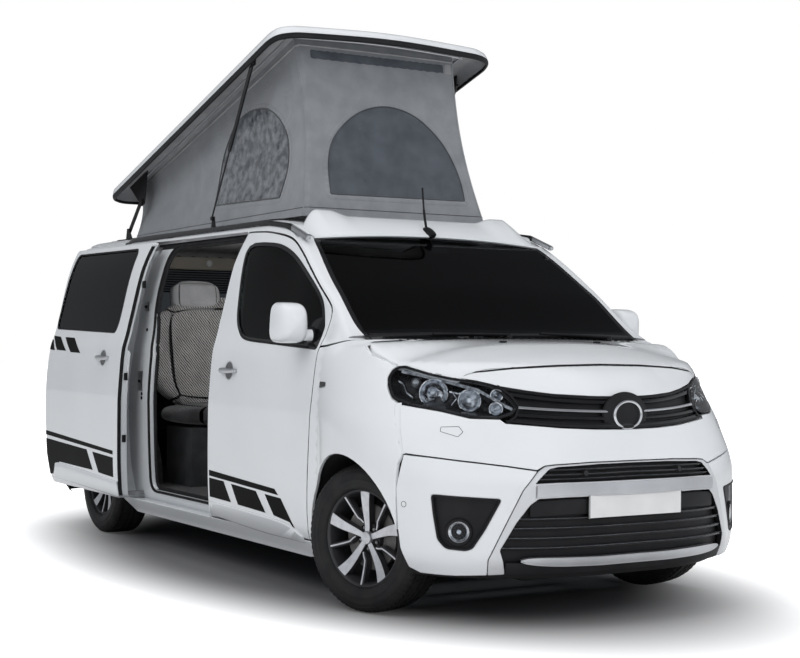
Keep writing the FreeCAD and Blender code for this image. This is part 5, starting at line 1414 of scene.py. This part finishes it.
def fairing():
    """The moulded visor ahead of the lifting roof, with a horn at each side."""
    b = Build("roof_visor", "body", "white_paint", "roof_fairing")
    ys = np.concatenate([np.linspace(-702, -560, 16), np.linspace(-540, 540, 41), np.linspace(560, 702, 16)])

    def horn(y):
        """How far up the horn is: 0 in the middle, 1 on top of a horn."""
        t = np.abs(y)
        rise = np.clip((t - 395) / 120.0, 0, 1)
        fall = np.clip((t - 600) / 100.0, 0, 1)
        return rise**2 * (3 - 2 * rise) * (1 - fall**1.6)
    h = horn(ys)
    edge = np.clip((np.abs(ys) - 590) / 112.0, 0, 1)
    front_x = 806 - 22 * (np.abs(ys) / 702) ** 4 - 8 * (1 - (ys / 702) ** 2)
    front_z = 1795 - 32 * (ys / 702) ** 2
    top_z = 1893 + 28 * h - 92 * edge**1.5
    top_x = 610 - 12 * h + 40 * edge**2
    rows = []
    for t in np.linspace(0, 1, 11):
        x = front_x + (top_x - front_x) * t
        z = front_z + (top_z - front_z) * (t + 0.32 * t * (1 - t))
        rows.append(np.stack([x, ys, z], 1))
    for dx, dz in ((-8, -0.5), (-13, -5), (-15, -14)):
        rows.append(np.stack([np.maximum(top_x + dx, 592), ys, top_z + dz], 1))
    rows.insert(0, np.stack([front_x + 1, ys, front_z - 7], 1))
    rows.insert(0, np.stack([front_x - 10, ys, front_z - 12], 1))
    b.grid(rows, WHITE)
    b.done()


# ------------------------------------------------------------------ lifting roof
def raised(q):
    t = math.radians(ROOF_TILT)
    q = np.asarray(q, float)
    return np.stack([ROOF_CORNER[0] + q[:, 0] * math.cos(t) - q[:, 2] * math.sin(t), q[:, 1],
                     ROOF_CORNER[1] + q[:, 0] * math.sin(t) + q[:, 2] * math.cos(t)], 1)


SHELL_L, SHELL_W = 2597.0, 711.0


def shell_line():
    half = [(0, 0), (0, SHELL_W - 90), (60, SHELL_W), (SHELL_L - 150, SHELL_W), (SHELL_L - 70, SHELL_W - 25),
            (SHELL_L - 30, SHELL_W - 110), (SHELL_L, 0)]
    pts = half + [(x, -y) for x, y in reversed(half[1:-1])]
    return rounded(pts, [5, 60, 60, 120, 50, 60, 200, 60, 50, 120, 60, 60], 40.0)


def arched(z_line, x, y):
    """The roof's front edge bows up in the middle."""
    front = np.clip((x - 2000) / 597.0, 0, 1) ** 2
    return z_line + 16.0 * front * (1 - (y / SHELL_W) ** 2)


def lifting_roof():
    b = Build("lifting_roof_shell", "lifting_roof", "white_paint", "lifting_roof")
    first = shell_line()

    def ring(inset_by, z):
        q = inset(first, inset_by)
        zz = arched(np.full(len(q), z), q[:, 0], q[:, 1])
        return np.stack([q[:, 0], q[:, 1], zz], 1)
    outside = [ring(3, 13), ring(1, 14), ring(1, 20), ring(4, 34), ring(11, 50), ring(23, 62), ring(42, 69),
               ring(66, 72)]
    inside = [ring(13, 0), ring(14, 4), ring(17, 20), ring(26, 44), ring(44, 58), ring(66, 62)]
    b.grid(outside, WHITE, closed=True, at=raised)
    b.add(np.concatenate(inside), [q[::-1] for q in grid_quads(len(inside), len(first), closed=True)],
          LINING, at=raised)
    # top skin and ceiling, crowned across and along, with three shallow ribs on top
    for base, m, flip in ((outside[-1], WHITE, False), (inside[-1], LINING, True)):
        loop = base[:, :2]
        pts, tris = fill(loop, [], 60.0)
        dist, _ = boundary_distance(pts, [loop])
        lift = 8.5 * np.clip(dist / 420.0, 0, 1) ** 0.75
        z = arched(np.full(len(pts), 62.0 if flip else 72.0), pts[:, 0], pts[:, 1])
        if not flip:
            for y0 in (-330, 330):
                lift = lift - 4.0 * np.exp(-((pts[:, 1] - y0) / 26.0) ** 2) * (dist > 120)
        lift = lift * 0.4 if flip else np.minimum(lift, 8.0 - (z - 72.0).clip(0, 8.0))
        b.add(np.stack([pts[:, 0], pts[:, 1], z + lift], 1), tris[:, ::-1] if flip else tris, m, at=raised)
    b.done()
    r = Build("lifting_roof_edge", "lifting_roof", "black_plastic", "lifting_roof_rim")
    profile = ((4, 14), (-1, 12), (-2, 4), (-1, -6), (3, -14), (8, -16), (15, -15), (17, -6), (14, 2))
    r.grid([ring(*p) for p in profile], BLACK, closed=True, turned=True, at=raised)
    # inner seal that grips the tent's upper edge
    r.ring(raised(ring(150.0, 60.0)), 6.5, SATIN)
    r.done()


def tent():
    """The walls: a grid of points from the hatch to the ceiling, pulled in between."""
    foot_ends, foot_half, head_ends, head_half = (-1928.0, 467.0), 586.0, (100.0, 2420.0), 519.0
    rows_n, side_n, end_n = 22, 46, 24

    def loop_of(ends, w, radius):
        (xa, xb), out = ends, []
        pts = [np.array(p) for p in ((xa, -w), (xb, -w), (xb, w), (xa, w))]
        for i, n in enumerate((side_n, end_n, side_n, end_n)):
            p, q = pts[i], pts[(i + 1) % 4]
            u = (q - p) / np.linalg.norm(q - p)
            out.extend(p + u * radius + (q - p - 2 * u * radius) * t for t in np.linspace(0, 1, n))
        return np.array(out)
    low, top = loop_of(foot_ends, foot_half, 24.0), loop_of(head_ends, head_half, 20.0)
    foot = np.stack([low[:, 0], low[:, 1], np.full(len(low), TENT_FOOT_Z)], 1)
    upper = raised(np.stack([top[:, 0], top[:, 1], arched(np.full(len(top), 62.0), top[:, 0], top[:, 1])], 1))
    k = len(low)
    along = np.arange(k)
    height = (upper[:, 2] - foot[:, 2]) / 950.0
    rows = []
    for t in np.linspace(0, 1, rows_n):
        p = foot * (1 - t) + upper * t
        hang = math.sin(math.pi * t)
        centre = (p[:, 0].min() + p[:, 0].max()) / 2
        reach = (p[:, 0].max() - p[:, 0].min()) / 2
        wave = 1 + 0.10 * np.sin(along * 0.61) + 0.08 * np.sin(along * 1.37 + 1.0 + 2.0 * t)
        p[:, 0] -= (10.0 + 8.0 * height) * hang * wave * (p[:, 0] - centre) / reach
        p[:, 1] -= (10.0 + 32.0 * height) * hang * wave * p[:, 1] / np.abs(p[:, 1]).max()
        rows.append(p)
    p = np.array(rows)
    b = Build("tent_walls", "lifting_roof", "tent_fabric", "tent")
    b.grid(p, TENT, closed=True)
    b.ring(p[1], 2.2, TENT_DARK)
    b.ring(p[-2] + (0, 0, 8.0), 5.0, LINING)
    for corner_line in (side_n - 1, side_n + end_n - 1):
        b.tube(p[:, corner_line], 2.6, TENT, 8)
    o = b.done(ride=False)
    tent_motion(o)
    return p, side_n, end_n


def tent_motion(o):
    """The tent stays on the body, with a mesh of its own."""
    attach(o, "body")
    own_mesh(o)


def tent_panels(g, side_n, end_n):
    """Windows and vent, laid on the fabric. g holds the walls' points, row by row from the foot."""
    k, top = g.shape[1], len(g) - 1

    def cell(jj, ii, a, c):
        """The four corners round a point of the grid, and the point's place between them."""
        p00, p01, p10, p11 = g[jj, ii % k], g[jj, (ii + 1) % k], g[jj + 1, ii % k], g[jj + 1, (ii + 1) % k]
        p = (1 - a) * (1 - c) * p00 + a * (1 - c) * p01 + (1 - a) * c * p10 + a * c * p11
        return p, p01 - p00, p10 - p00

    def on_wall(first, count, uv, lift):
        """A wall's points at uv: u from 0 to 1 along it, v from foot to ceiling."""
        fu, fv = uv[:, 0] * (count - 1), uv[:, 1] * top
        i = np.clip(np.floor(fu).astype(int), 0, count - 2)
        j = np.clip(np.floor(fv).astype(int), 0, top - 1)
        p, du, dv = cell(j, first + i, (fu - i)[:, None], (fv - j)[:, None])
        n = np.cross(du, dv)
        return p + n / np.linalg.norm(n, axis=1, keepdims=True) * lift

    def find(first, count, targets, axis):
        """u, v of the wall's points with these coordinates along axis and these heights."""
        wall_grid = g[:, first:first + count]
        out = []
        for a, z in targets:
            d = (wall_grid[:, :, axis] - a) ** 2 + (wall_grid[:, :, 2] - z) ** 2
            j, i = np.unravel_index(np.argmin(d), d.shape)
            u, v = float(i), float(j)
            for _ in range(8):
                i0, j0 = int(np.clip(u, 0, count - 2)), int(np.clip(v, 0, top - 1))
                p, du, dv = cell(j0, first + i0, u - i0, v - j0)
                m = np.array([[du[axis], dv[axis]], [du[2], dv[2]]])
                step = np.linalg.solve(m, np.array([a - p[axis], z - p[2]]))
                u, v = u + step[0], v + step[1]
            out.append((u / (count - 1), v / top))
        return np.array(out)

    def lay(name, walls):
        """walls: (first, count, axis, outline, material, lift, edge width or 0)."""
        b = Build(name, "body", "tent_fabric")
        for first, count, axis, outline, m, lift, edge in walls:
            loop = rounded(outline, 8.0, 26.0)
            pts, tris = fill(loop, [], 60.0)
            uv = find(first, count, pts, axis)
            p = on_wall(first, count, uv, lift)
            q = p[tris]
            n = np.cross(q[:, 1] - q[:, 0], q[:, 2] - q[:, 0])
            out = on_wall(first, count, uv, lift + 1) - p
            if np.sum(n * out[tris[:, 0]]) < 0:
                tris = tris[:, ::-1]
            b.add(p, tris, m)
            if not edge:
                continue
            b.ring(on_wall(first, count, find(first, count, loop, axis), lift + 1.0), edge, TENT_DARK)
            # puckered hem round the window
            hem = []
            for grow, up in ((1.0, 2.0), (7.0, 3.5), (20.0, 3.5), (30.0, 0.6)):
                ring_uv = find(first, count, inset(loop, -grow), axis)
                base = on_wall(first, count, ring_uv, 0.0)
                away = on_wall(first, count, ring_uv, 1.0) - base
                pucker = up * (1 + 0.45 * np.sin(np.arange(len(base)) * 2.1 + grow))
                hem.append(base + away * pucker[:, None])
            b.grid(hem, TENT, closed=True)
        tent_motion(b.done(ride=False))
    front_window = flow([(455, 2030), (448, 2138), (414, 2258), (349, 2377), (242, 2480), (118, 2534),
                         (-10, 2544), (-142, 2508), (-257, 2433), (-356, 2324), (-402, 2190), (-412, 2024)],
                        5)
    side_window = flow([(131, 2018), (160, 2180), (126, 2334), (27, 2455), (-97, 2529), (-245, 2556),
                        (-420, 2545), (-560, 2480), (-676, 2363), (-732, 2207), (-746, 2034)], 5)
    # the side windows' dark colour is painted shade for the tent's inside
    lay("tent_windows", [(side_n, end_n, 1, front_window, MESH, 2.5, 3.2),
                         (0, side_n, 0, side_window, VINYL_OVER_INNER_SHADE, 2.5, 4.0)])
    lay("tent_window_left", [(side_n + end_n, side_n, 0, side_window, VINYL_OVER_INNER_SHADE, 2.5, 4.0)])
    wavy = np.linspace(-436, 432, 40)
    vent = [(y, 2782 + 3.0 * math.sin(y * 0.11)) for y in wavy]
    vent += [(y, 2830 + 3.0 * math.sin(y * 0.13)) for y in wavy[::-1]]
    flap = [(446, 2778), (486, 2780), (486, 2838), (446, 2836)]
    lay("tent_vent", [(side_n, end_n, 1, vent, MESH, 2.5, 0), (side_n, end_n, 1, flap, LINING, 2.0, 0)])


# ------------------------------------------------------------------ rear end
def rear_end():
    b = Build("tailgate_shell", "tailgate", "white_paint", "tailgate")
    gate = [(-775, 566), (-792, 800), (-798, 1000), (-772, 1200), (-668, 1800), (-640, 1818), (640, 1818),
            (668, 1800), (772, 1200), (798, 1000), (792, 800), (775, 566)]
    light = [(-648, 1282), (-566, 1735), (566, 1735), (648, 1282)]
    recess_plate = [(-290, 905), (290, 905), (290, 1040), (-290, 1040)]
    b.panel("rear", rounded(gate, 14.0), WHITE, holes=[rounded(light, 40.0), rounded(recess_plate, 20.0)],
            thick=36.0, inner=TRIM, rim=JAMB, grid=45.0)
    b.panel("rear", rounded(grown(recess_plate, 1), 20.0), WHITE, depth=22.0, thick=6.0, grid=50.0)
    b.strip("rear", rounded(grown(light, 5), 40.0), 14.0, 1.5, RUBBER)
    for s in (-1, 1):
        b.box(-2474, -2462, s * 200 - 40, s * 200 + 40, 1030, 1042, LENS, 3.0)
    b.box(-2478, -2452, -150, 150, 1046, 1062, CHROME, 6.0)
    b.patch("rear", [(-118, 1768), (118, 1768), (118, 1790), (-118, 1790)], RED_LENS, 3.0, 6.0)
    # wiper
    p, _ = on_skin("rear", [(-20, 1290), (-160, 1330), (-330, 1368)], -14.0)
    b.tube(p, 6.5, BLACK, 8)
    q, _ = on_skin("rear", [(-60 - 60 * i, 1322 + 9 * i) for i in range(9)], -5.0)
    b.tube(q, 4.5, RUBBER, 8)
    b.lathe([(0, 24), (18, 22), (24, 12), (24, -6)], skin_point("rear", 0, 1286), (-1, 0, 0), BLACK, 24)
    b.done()
    g = Build("tailgate_pane", "tailgate", "dark_glass", "tailgate_glass")
    g.panel("rear", rounded(grown(light, -0.5), 40.0), DARK_GLASS, **PANE)
    g.done()
    e = Build("rear_bumper_cover", "body", "white_paint", "rear_bumper")
    # centre part seen from the back, then each side
    low = [(-905, 300), (-905, 556), (905, 556), (905, 300), (700, 262), (-700, 262)]
    e.panel("rear", rounded(low, 16.0), WHITE, thick=34.0, inner=DARK, rim=JAMB, grid=45.0)
    side = [(-2402, 300), (-2402, 556), (-2154, 556), (-2154, 300), (-2200, 262), (-2380, 262)]
    for s in (-1, 1):
        e.panel(HAND[s], rounded(side, 8.0), WHITE, thick=34.0, inner=DARK, rim=JAMB)
    e.panel("rear", rounded([(-880, 210), (-880, 262), (880, 262), (880, 210)], 8.0), BLACK, thick=20.0,
            depth=14.0, inner=DARK)
    e.patch("rear", [(-700, 490), (700, 490), (700, 540), (-700, 540)], BLACK, 4.0, 14.0)
    for s in (-1, 1):
        e.patch("rear", [(s * 690, 352), (s * 830, 352), (s * 830, 388), (s * 690, 388)], RED_LENS, 3.0, 8.0)
        for y in (300, 640):
            e.strip("rear", circle(s * y, 430, 11), 1.6, 0.5, RUBBER)
    e.done()
    # body corners round the tailgate, the sill seal below it and the tail lamps
    c = Build("rear_corners", "body", "white_paint")
    c.panel("rear", rounded([(-890, 530), (-890, 600), (890, 600), (890, 530)], 6.0), BLACK, depth=44.0,
            thick=8.0, grid=60.0)
    for s in (-1, 1):
        corner(c, s, 566, 899, WHITE)
        corner(c, s, 1424, 1836, WHITE)
    c.done()
    for s in (-1, 1):
        t = Build("tail_lamp_" + HAND[s], "body", "rear_lamp", *(["rear_lamps"] if s < 0 else []))
        for z0, z1, m in ((905, 1098, RED_LENS), (1099, 1171, LENS_WHITE), (1172, 1418, RED_LENS)):
            corner(t, s, z0, z1, m)
        t.done()


GATE_EDGE = ([566, 800, 1000, 1200, 1800, 1838], [783, 800, 806, 780, 676, 672])        # heights, half widths
FLANK_EDGE = ([565, 1000, 1200, 1838], [-2406, -2414, -2398, -2358])        # heights, places along X


def corner(b, s, z0, z1, m):
    """The body's rear corner from the tailgate's edge round to the side."""
    zs = np.linspace(z0, z1, max(4, int((z1 - z0) / 25)))
    gate, _ = on_skin("rear", np.stack([s * np.interp(zs, *GATE_EDGE), zs], 1))
    flank, _ = on_skin(HAND[s], np.stack([np.interp(zs, *FLANK_EDGE), zs], 1))
    bridge(b, gate, flank, (-0.7, s * 0.7, 0.05), m, DARK if m is RED_LENS else LINING)


# ------------------------------------------------------------------ interior
def cushion_shape(b, centre, size, m, at=None, crown=0.16, power=0.42, channels=()):
    """A crowned pad: a rounded block whose faces swell and whose edges pull in."""
    n = 26
    line = np.linspace(-1, 1, n)
    u, v = np.meshgrid(line, line, indexing="ij")
    for axis, sign in product(range(3), (-1, 1)):
        o1, o2 = [a for a in range(3) if a != axis]
        p = np.zeros((n * n, 3))
        p[:, axis], p[:, o1], p[:, o2] = sign, u.ravel(), v.ravel()
        q = p / (np.sum(np.abs(p) ** (2 / power), axis=1) ** (power / 2))[:, None]
        q[:, axis] *= 1 + crown * np.prod([np.cos(q[:, a] * math.pi / 2) ** 0.7 for a in (o1, o2)], axis=0)
        q = q * np.array(size)
        for along, place, width, depth in channels:
            groove = depth * np.exp(-((q[:, along] - place) / width) ** 2)
            q[:, axis] -= sign * groove * (axis != along) * (np.abs(q[:, axis]) > 0.5 * size[axis])
        b.grid((q + np.array(centre)).reshape(n, n, 3), m, turned=True, at=at)


def tilted(x, z, angle):
    """Turns points about the Y axis line at x, z by angle degrees (positive leans back)."""
    t = math.radians(angle)

    def at(q):
        dx, dz = q[:, 0] - x, q[:, 2] - z
        return np.stack([x + dx * math.cos(t) - dz * math.sin(t), q[:, 1],
                         z + dx * math.sin(t) + dz * math.cos(t)], 1)
    return at


def weld(o, distance=0.0006):
    bm = bmesh.new()
    bm.from_mesh(o.data)
    bmesh.ops.remove_doubles(bm, verts=bm.verts, dist=distance)
    bmesh.ops.recalc_face_normals(bm, faces=bm.faces)
    bm.to_mesh(o.data)
    bm.free()
    for p in o.data.polygons:
        p.use_smooth = True


def pad(name, centre, size, m, replaced=(), at=None, **kw):
    """A cushion as a padded piece."""
    b = Build(name, "body", "seat_fabric", *replaced)
    cushion_shape(b, centre, size, m, at, **kw)
    o = b.done()
    weld(o)


def seats():
    x, z = 420.0, 640.0
    for s in (-1, 1):
        y, hand = s * 405.0, HAND[s]
        stands_for = ("front_seats",) if s < 0 else ()
        pad("front_seat_cushion_" + hand, (x + 6, y, z + 72), (252, 252, 66), SEAT_DARK, stands_for,
            channels=((1, -165, 9, 6), (1, 165, 9, 6), (0, 90, 9, 5)))
        pad("front_seat_back_" + hand, (x - 322, y, z + 400), (62, 246, 300), SEAT_DARK,
            at=tilted(x - 322, z + 400, 13.0),
            channels=((1, -150, 9, 6), (1, 150, 9, 6), (2, -60, 9, 5)))
        pad("front_seat_head_" + hand, (x - 430, y, z + 800), (48, 132, 92), SEAT_DARK,
            at=tilted(x - 430, z + 800, 8.0))
    x, y, z = -1100.0, -130.0, 700.0
    seams = ((1, 0, 12, 9), (1, -330, 9, 5), (1, 330, 9, 5))
    pad("bench_cushion", (x + 6, y, z + 72), (250, 498, 64), SEAT_DARK, ("rear_bench",), channels=seams)
    pad("bench_back", (x - 318, y + 14, z + 432), (66, 500, 330), SEAT, at=tilted(x - 318, z + 432, 13.0),
        channels=seams)
    for s in (-1, 1):
        pad("bench_head_" + HAND[s], (x - 400, y + 45 + s * 258, z + 806), (56, 146, 90), HEADREST,
            at=tilted(x - 400, z + 806, 8.0))
    f = Build("seat_fittings", "body", "chrome")
    for x0, x1, z0, z1, middles in ((35, 10, 1290, 1390, (-405, 405)),
                                    (-1490, -1530, 1400, 1480, (-390, 130))):
        for y, off in product(middles, (-55, 55)):
            f.tube([(x0, y + off, z0), (x1, y + off, z1)], 6.0, CHROME, 8)
    f.done()


def cabin_details():
    # dashboard top, instrument hood, screen and vents on the dashboard's own solid
    b = Build("dashboard_details", "body", "black_plastic")
    blob(b, (905, 385, 1128), (90, 190, 42), 0.6, TRIM)
    blob(b, (842, 385, 1090), (20, 150, 34), 0.5, GLOSSY_BLACK)
    blob(b, (838, -20, 985), (16, 130, 90), 0.35, GLOSSY_BLACK)
    for y in (-640, -170, 120, 640):
        blob(b, (835, y, 1060), (16, 62, 36), 0.5, GLOSSY_BLACK)
        blob(b, (826, y, 1060), (6, 54, 3), 0.5, CHROME)
    blob(b, (822, -430, 930), (20, 210, 70), 0.4, TRIM)
    b.done()
    # headlining and blind at the doorway, a lamp in the ceiling strip
    c = Build("cabin_trim", "body", "furniture")
    c.box(-2338, -2318, -600, 600, 1722, 1812, BEIGE, 8.0)
    c.lathe([(0, 3), (17, 3), (22, 0), (24, -4)], (-2317, 131, 1769), (1, 0, 0), LENS_WHITE, 28)
    c.lathe([(23, -2), (26, 2), (30, -3)], (-2317, 131, 1769), (1, 0, 0), SATIN, 28)
    for z in np.arange(1560, 1716, 17.0):
        c.box(-2346, -2338, -570, 570, z, z + 12, BLACK, 2.0)
    # footwell sides between the cabin and the engine bay
    for y in (-790, 780):
        c.box(1120, 1430, y, y + 10, 745, 1215, TRIM, 3.0)
    # cupboard fronts, worktop and locker doors on the left side
    for x0, x1, z0, z1 in ((-1200, -830, 380, 1120), (-820, -460, 380, 760), (-820, -460, 770, 1120),
                           (-450, -90, 380, 1120)):
        c.box(x0, x1, 432, 441, z0, z1, BEIGE, 4.0)
        c.tube([(x0 + 40, 424, z1 - 30), (x0 + 120, 424, z1 - 30)], 5.0, SATIN, 8)
    c.box(-1250, -50, 425, 845, 1190, 1212, WORKTOP, 6.0)
    for x0, x1 in ((-2180, -1560), (-1550, -920)):
        c.box(x0, x1, 322, 331, 1580, 1750, BEIGE, 4.0)
    c.done()
    # pleated blinds at the rear side windows, as stiff cloth
    d = Build("window_blinds", "body", "furniture")
    for s in (1, -1):
        p, _ = on_skin(HAND[s], [(x, z) for z in np.linspace(1310, 1760, 34) for x in (-2210, -1310)])
        p = p.reshape(34, 2, 3)
        p[:, :, 1] -= s * (74.0 + 9.0 * (np.arange(34) % 2))[:, None]
        d.grid(p, BLIND)
    o = d.done()
    e = Build("belts", "body", "dark_trim")
    for y in (-742, 742):
        e.box(62, 110, y - 3, y + 3, 900, 1520, BELT, 1.5)
        blob(e, (86, y, 1520), (26, 12, 34), 0.5, TRIM)
    e.done()


DOOR_BLOCKS = (
    [(86, 536), (862, 500), (901, 472), (86, 505)],
    [(86, 494), (268, 489), (352, 385), (86, 392)],
    [(359, 483), (652, 471), (754, 370), (434, 381)],
    [(750, 465), (926, 459), (1108, 282), (1012, 350), (842, 367)])
SLIDER_BLOCKS = (        # where they are on the open door
    [(-2305, 623), (-1086, 564), (-1086, 541), (-2305, 594)],
    [(-2300, 570), (-1532, 543), (-1432, 422), (-2042, 430), (-2140, 405), (-2166, 345), (-2240, 335),
     (-2290, 470)],
    [(-1433, 536), (-1086, 523), (-1086, 404), (-1334, 415)],
    [(-2276, 1228), (-2246, 1218), (-2189, 1155), (-2286, 1160)],
    [(-2268, 1251), (-2129, 1244), (-1967, 1153), (-2149, 1158)],
    [(-2040, 1242), (-1860, 1238), (-1699, 1142), (-1879, 1145)])


def decals():
    """Black bands on the right flank."""
    for name, body_name, blocks, move in (("flank_bands_door", "front_door_right", DOOR_BLOCKS, (0, 0, 0)),
                                          ("flank_bands_slider", "body", SLIDER_BLOCKS, SLIDE_MOVE)):
        b = Build(name, body_name, "black_plastic")
        for quad in blocks:
            b.patch("right", [(x - move[0], z) for x, z in quad], DECAL, 0.7, 3.0, move=move)
        b.done()


# ------------------------------------------------------------------ pieces kept from the frame
def dress(node, m):
    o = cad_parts[node]
    o.data.materials.clear()
    o.data.materials.append(m)
    for p in o.data.polygons:
        p.material_index = 0


FRAME_FINISHES = {
    FLOOR_MAT: ["floor_pan"],
    DARK: ["front_subframe", "rear_axle"],
    CAST: ["engine_block", "exhaust_and_tank", "front_knuckle_right", "front_knuckle_left"],
    TRIM: ["dashboard", "steering_wheel", "seat_bases"],
    BEIGE: ["cabinets"],
    LINING: ["bed_board"],
    BLACK: ["roof_arms", "roof_hangers", "roof_feet"],
    GLOSSY_BLACK: ["strut_tubes", "strut_rods"],
    STEEL: ["sliding_door_rails"],
}


sides()
jambs()
front_doors()
sliding_door()
front_end()
front_panels()
for hand in (-1, 1):
    headlamp(hand)
upper_grille()
lower_grille()
windscreen()
cowl()
for hand in (-1, 1):
    wheel(hand, True)
    wheel(hand, False)
    mirror(hand)
arch_lips()
roof_panel()
roof_fittings()
fairing()
lifting_roof()
tent_panels(*tent())
rear_end()
seats()
cabin_details()
decals()
for finish, names in FRAME_FINISHES.items():
    for kept in names:
        dress(kept, finish)


# ------------------------------------------------------------------ stage
def seen(tree):
    """1 for the rays that look at the background or pass through glass, else 0."""
    rays_of = node(tree, "LightPath").outputs
    return node(tree, "Math", {0: rays_of["Is Camera Ray"], 1: rays_of["Is Transmission Ray"]},
                operation="MAXIMUM").outputs[0]


def stage_floor():
    """A pale floor that turns plain white further out, where the lamps fade, with a painted shadow: its
    colour is darkened under the van.
    """
    me = bpy.data.meshes.new("floor")
    s = 60.0
    me.from_pydata([(-s, -s, 0), (s, -s, 0), (s, s, 0), (-s, s, 0)], [], [(0, 1, 2, 3)])
    m = bpy.data.materials.new("floor")
    tree = empty_tree(m)
    where = node(tree, "TexCoord").outputs["Object"]
    oval = node(tree, "Mapping", {"Vector": where, "Scale": (0.5, 1.0, 1.0)})
    length = node(tree, "VectorMath", {0: oval.outputs["Vector"]}, operation="LENGTH")
    reach = node(tree, "MapRange", {"Value": length.outputs["Value"], "From Min": 1.0, "From Max": 2.3},
                 interpolation_type="SMOOTHSTEP").outputs[0]
    glow = node(tree, "Math", {0: reach, 1: seen(tree)}, operation="MULTIPLY")
    light = node(tree, "Emission", {"Strength": glow.outputs[0]})
    # painted shadow: the floor's colour is dark under the van and pale further out
    painted_shadow_tone = ramp(tree, reach, [(0.0, (0.16, 0.16, 0.165)), (0.6, (0.8, 0.8, 0.8))])
    plain = node(tree, "BsdfDiffuse", {"Color": painted_shadow_tone})
    both_of = node(tree, "AddShader", {0: plain.outputs[0], 1: light.outputs[0]})
    node(tree, "OutputMaterial", {"Surface": both_of.outputs[0]})
    me.materials.append(m)
    return bpy.data.objects.new("stage_floor", me)


def stage_lamp(name, place, size, power, target):
    lamp = bpy.data.lights.new(name, "AREA")
    lamp.shape = "SQUARE"
    lamp.size = size
    lamp.energy = power
    o = bpy.data.objects.new(name, lamp)
    o.location = place
    o.rotation_euler = (Vector(target) - Vector(place)).to_track_quat("-Z", "Y").to_euler()
    o.visible_glossy = False
    o.visible_camera = False
    return o


def stage_world():
    """Soft light all round, a graded room for reflections, and white for the rays that see the background."""
    w = bpy.data.worlds.new("studio")
    bpy.context.scene.world = w
    tree = empty_tree(w)
    way = node(tree, "SeparateXYZ", {0: node(tree, "TexCoord").outputs["Generated"]}).outputs
    sky = [(0.0, (0.40, 0.43, 0.47)), (0.12, (0.50, 0.53, 0.57)), (0.45, (0.80, 0.83, 0.87)),
           (1.0, (1.0, 1.0, 1.0))]
    room = [(0.0, (0.80, 0.83, 0.87)), (0.30, (0.84, 0.87, 0.91)), (0.62, (0.24, 0.25, 0.27)),
            (1.0, (0.34, 0.35, 0.37))]
    ahead = node(tree, "MapRange", {"Value": way["X"], "From Min": -0.6, "From Max": 0.3, "To Min": 0.35,
                                    "To Max": 1.0})
    soft = node(tree, "Background", {"Color": ramp(tree, way["Z"], sky), "Strength": 0.74})
    mirrored = node(tree, "Background", {"Color": ramp(tree, way["Z"], room), "Strength": ahead.outputs[0]})
    white = node(tree, "Background", {"Color": (1, 1, 1, 1), "Strength": 1.0})
    glossy = node(tree, "LightPath").outputs["Is Glossy Ray"]
    first = node(tree, "MixShader", {0: glossy, 1: soft.outputs[0], 2: mirrored.outputs[0]})
    mix = node(tree, "MixShader", {0: seen(tree), 1: first.outputs[0], 2: white.outputs[0]})
    node(tree, "OutputWorld", {"Surface": mix.outputs[0]})


SENSOR, FOCAL, FRAME_WIDTH = 36.0, 1548.6, 800.0        # sensor in mm; focal length and frame in one unit
CAMERA_PLACE = (7.7232, -4.4376, 1.2466)
CAMERA_AZIMUTH, CAMERA_PITCH, CAMERA_ROLL = 2.59185, -0.00646, 0.00796


def stage_camera():
    cam = bpy.data.cameras.new("camera")
    cam.sensor_width = SENSOR
    cam.lens = SENSOR * FOCAL / FRAME_WIDTH
    cam.clip_end = 200.0
    o = bpy.data.objects.new("camera", cam)
    level = math.cos(CAMERA_PITCH)
    f = Vector((math.cos(CAMERA_AZIMUTH) * level, math.sin(CAMERA_AZIMUTH) * level, -math.sin(CAMERA_PITCH)))
    r = f.cross(Vector((0, 0, 1))).normalized()
    u = r.cross(f)
    right = math.cos(CAMERA_ROLL) * r + math.sin(CAMERA_ROLL) * u
    up = -math.sin(CAMERA_ROLL) * r + math.cos(CAMERA_ROLL) * u
    o.matrix_world = Matrix.Translation(CAMERA_PLACE) @ Matrix((right, up, -f)).transposed().to_4x4()
    return o


def stage():
    scene = bpy.context.scene
    things = [stage_floor(),
              stage_lamp("stage_key", (3.0, -7.5, 7.0), 5.0, 270.0, (0, 0, 1.0)),
              stage_lamp("stage_top", (0.0, 0.0, 8.5), 7.0, 170.0, (0, 0, 0.5)),
              stage_lamp("stage_front", (9.0, 0.5, 4.5), 5.0, 190.0, (1.0, 0, 1.0)),
              stage_lamp("stage_cabin", (-0.40, -0.35, 1.74), 0.5, 7.0, (-1.7, 0.0, 1.2)),
              stage_camera()]
    for o in things:
        scene.collection.objects.link(o)
    stage_world()
    scene.camera = things[-1]
    scene.view_settings.view_transform = "Standard"


stage()
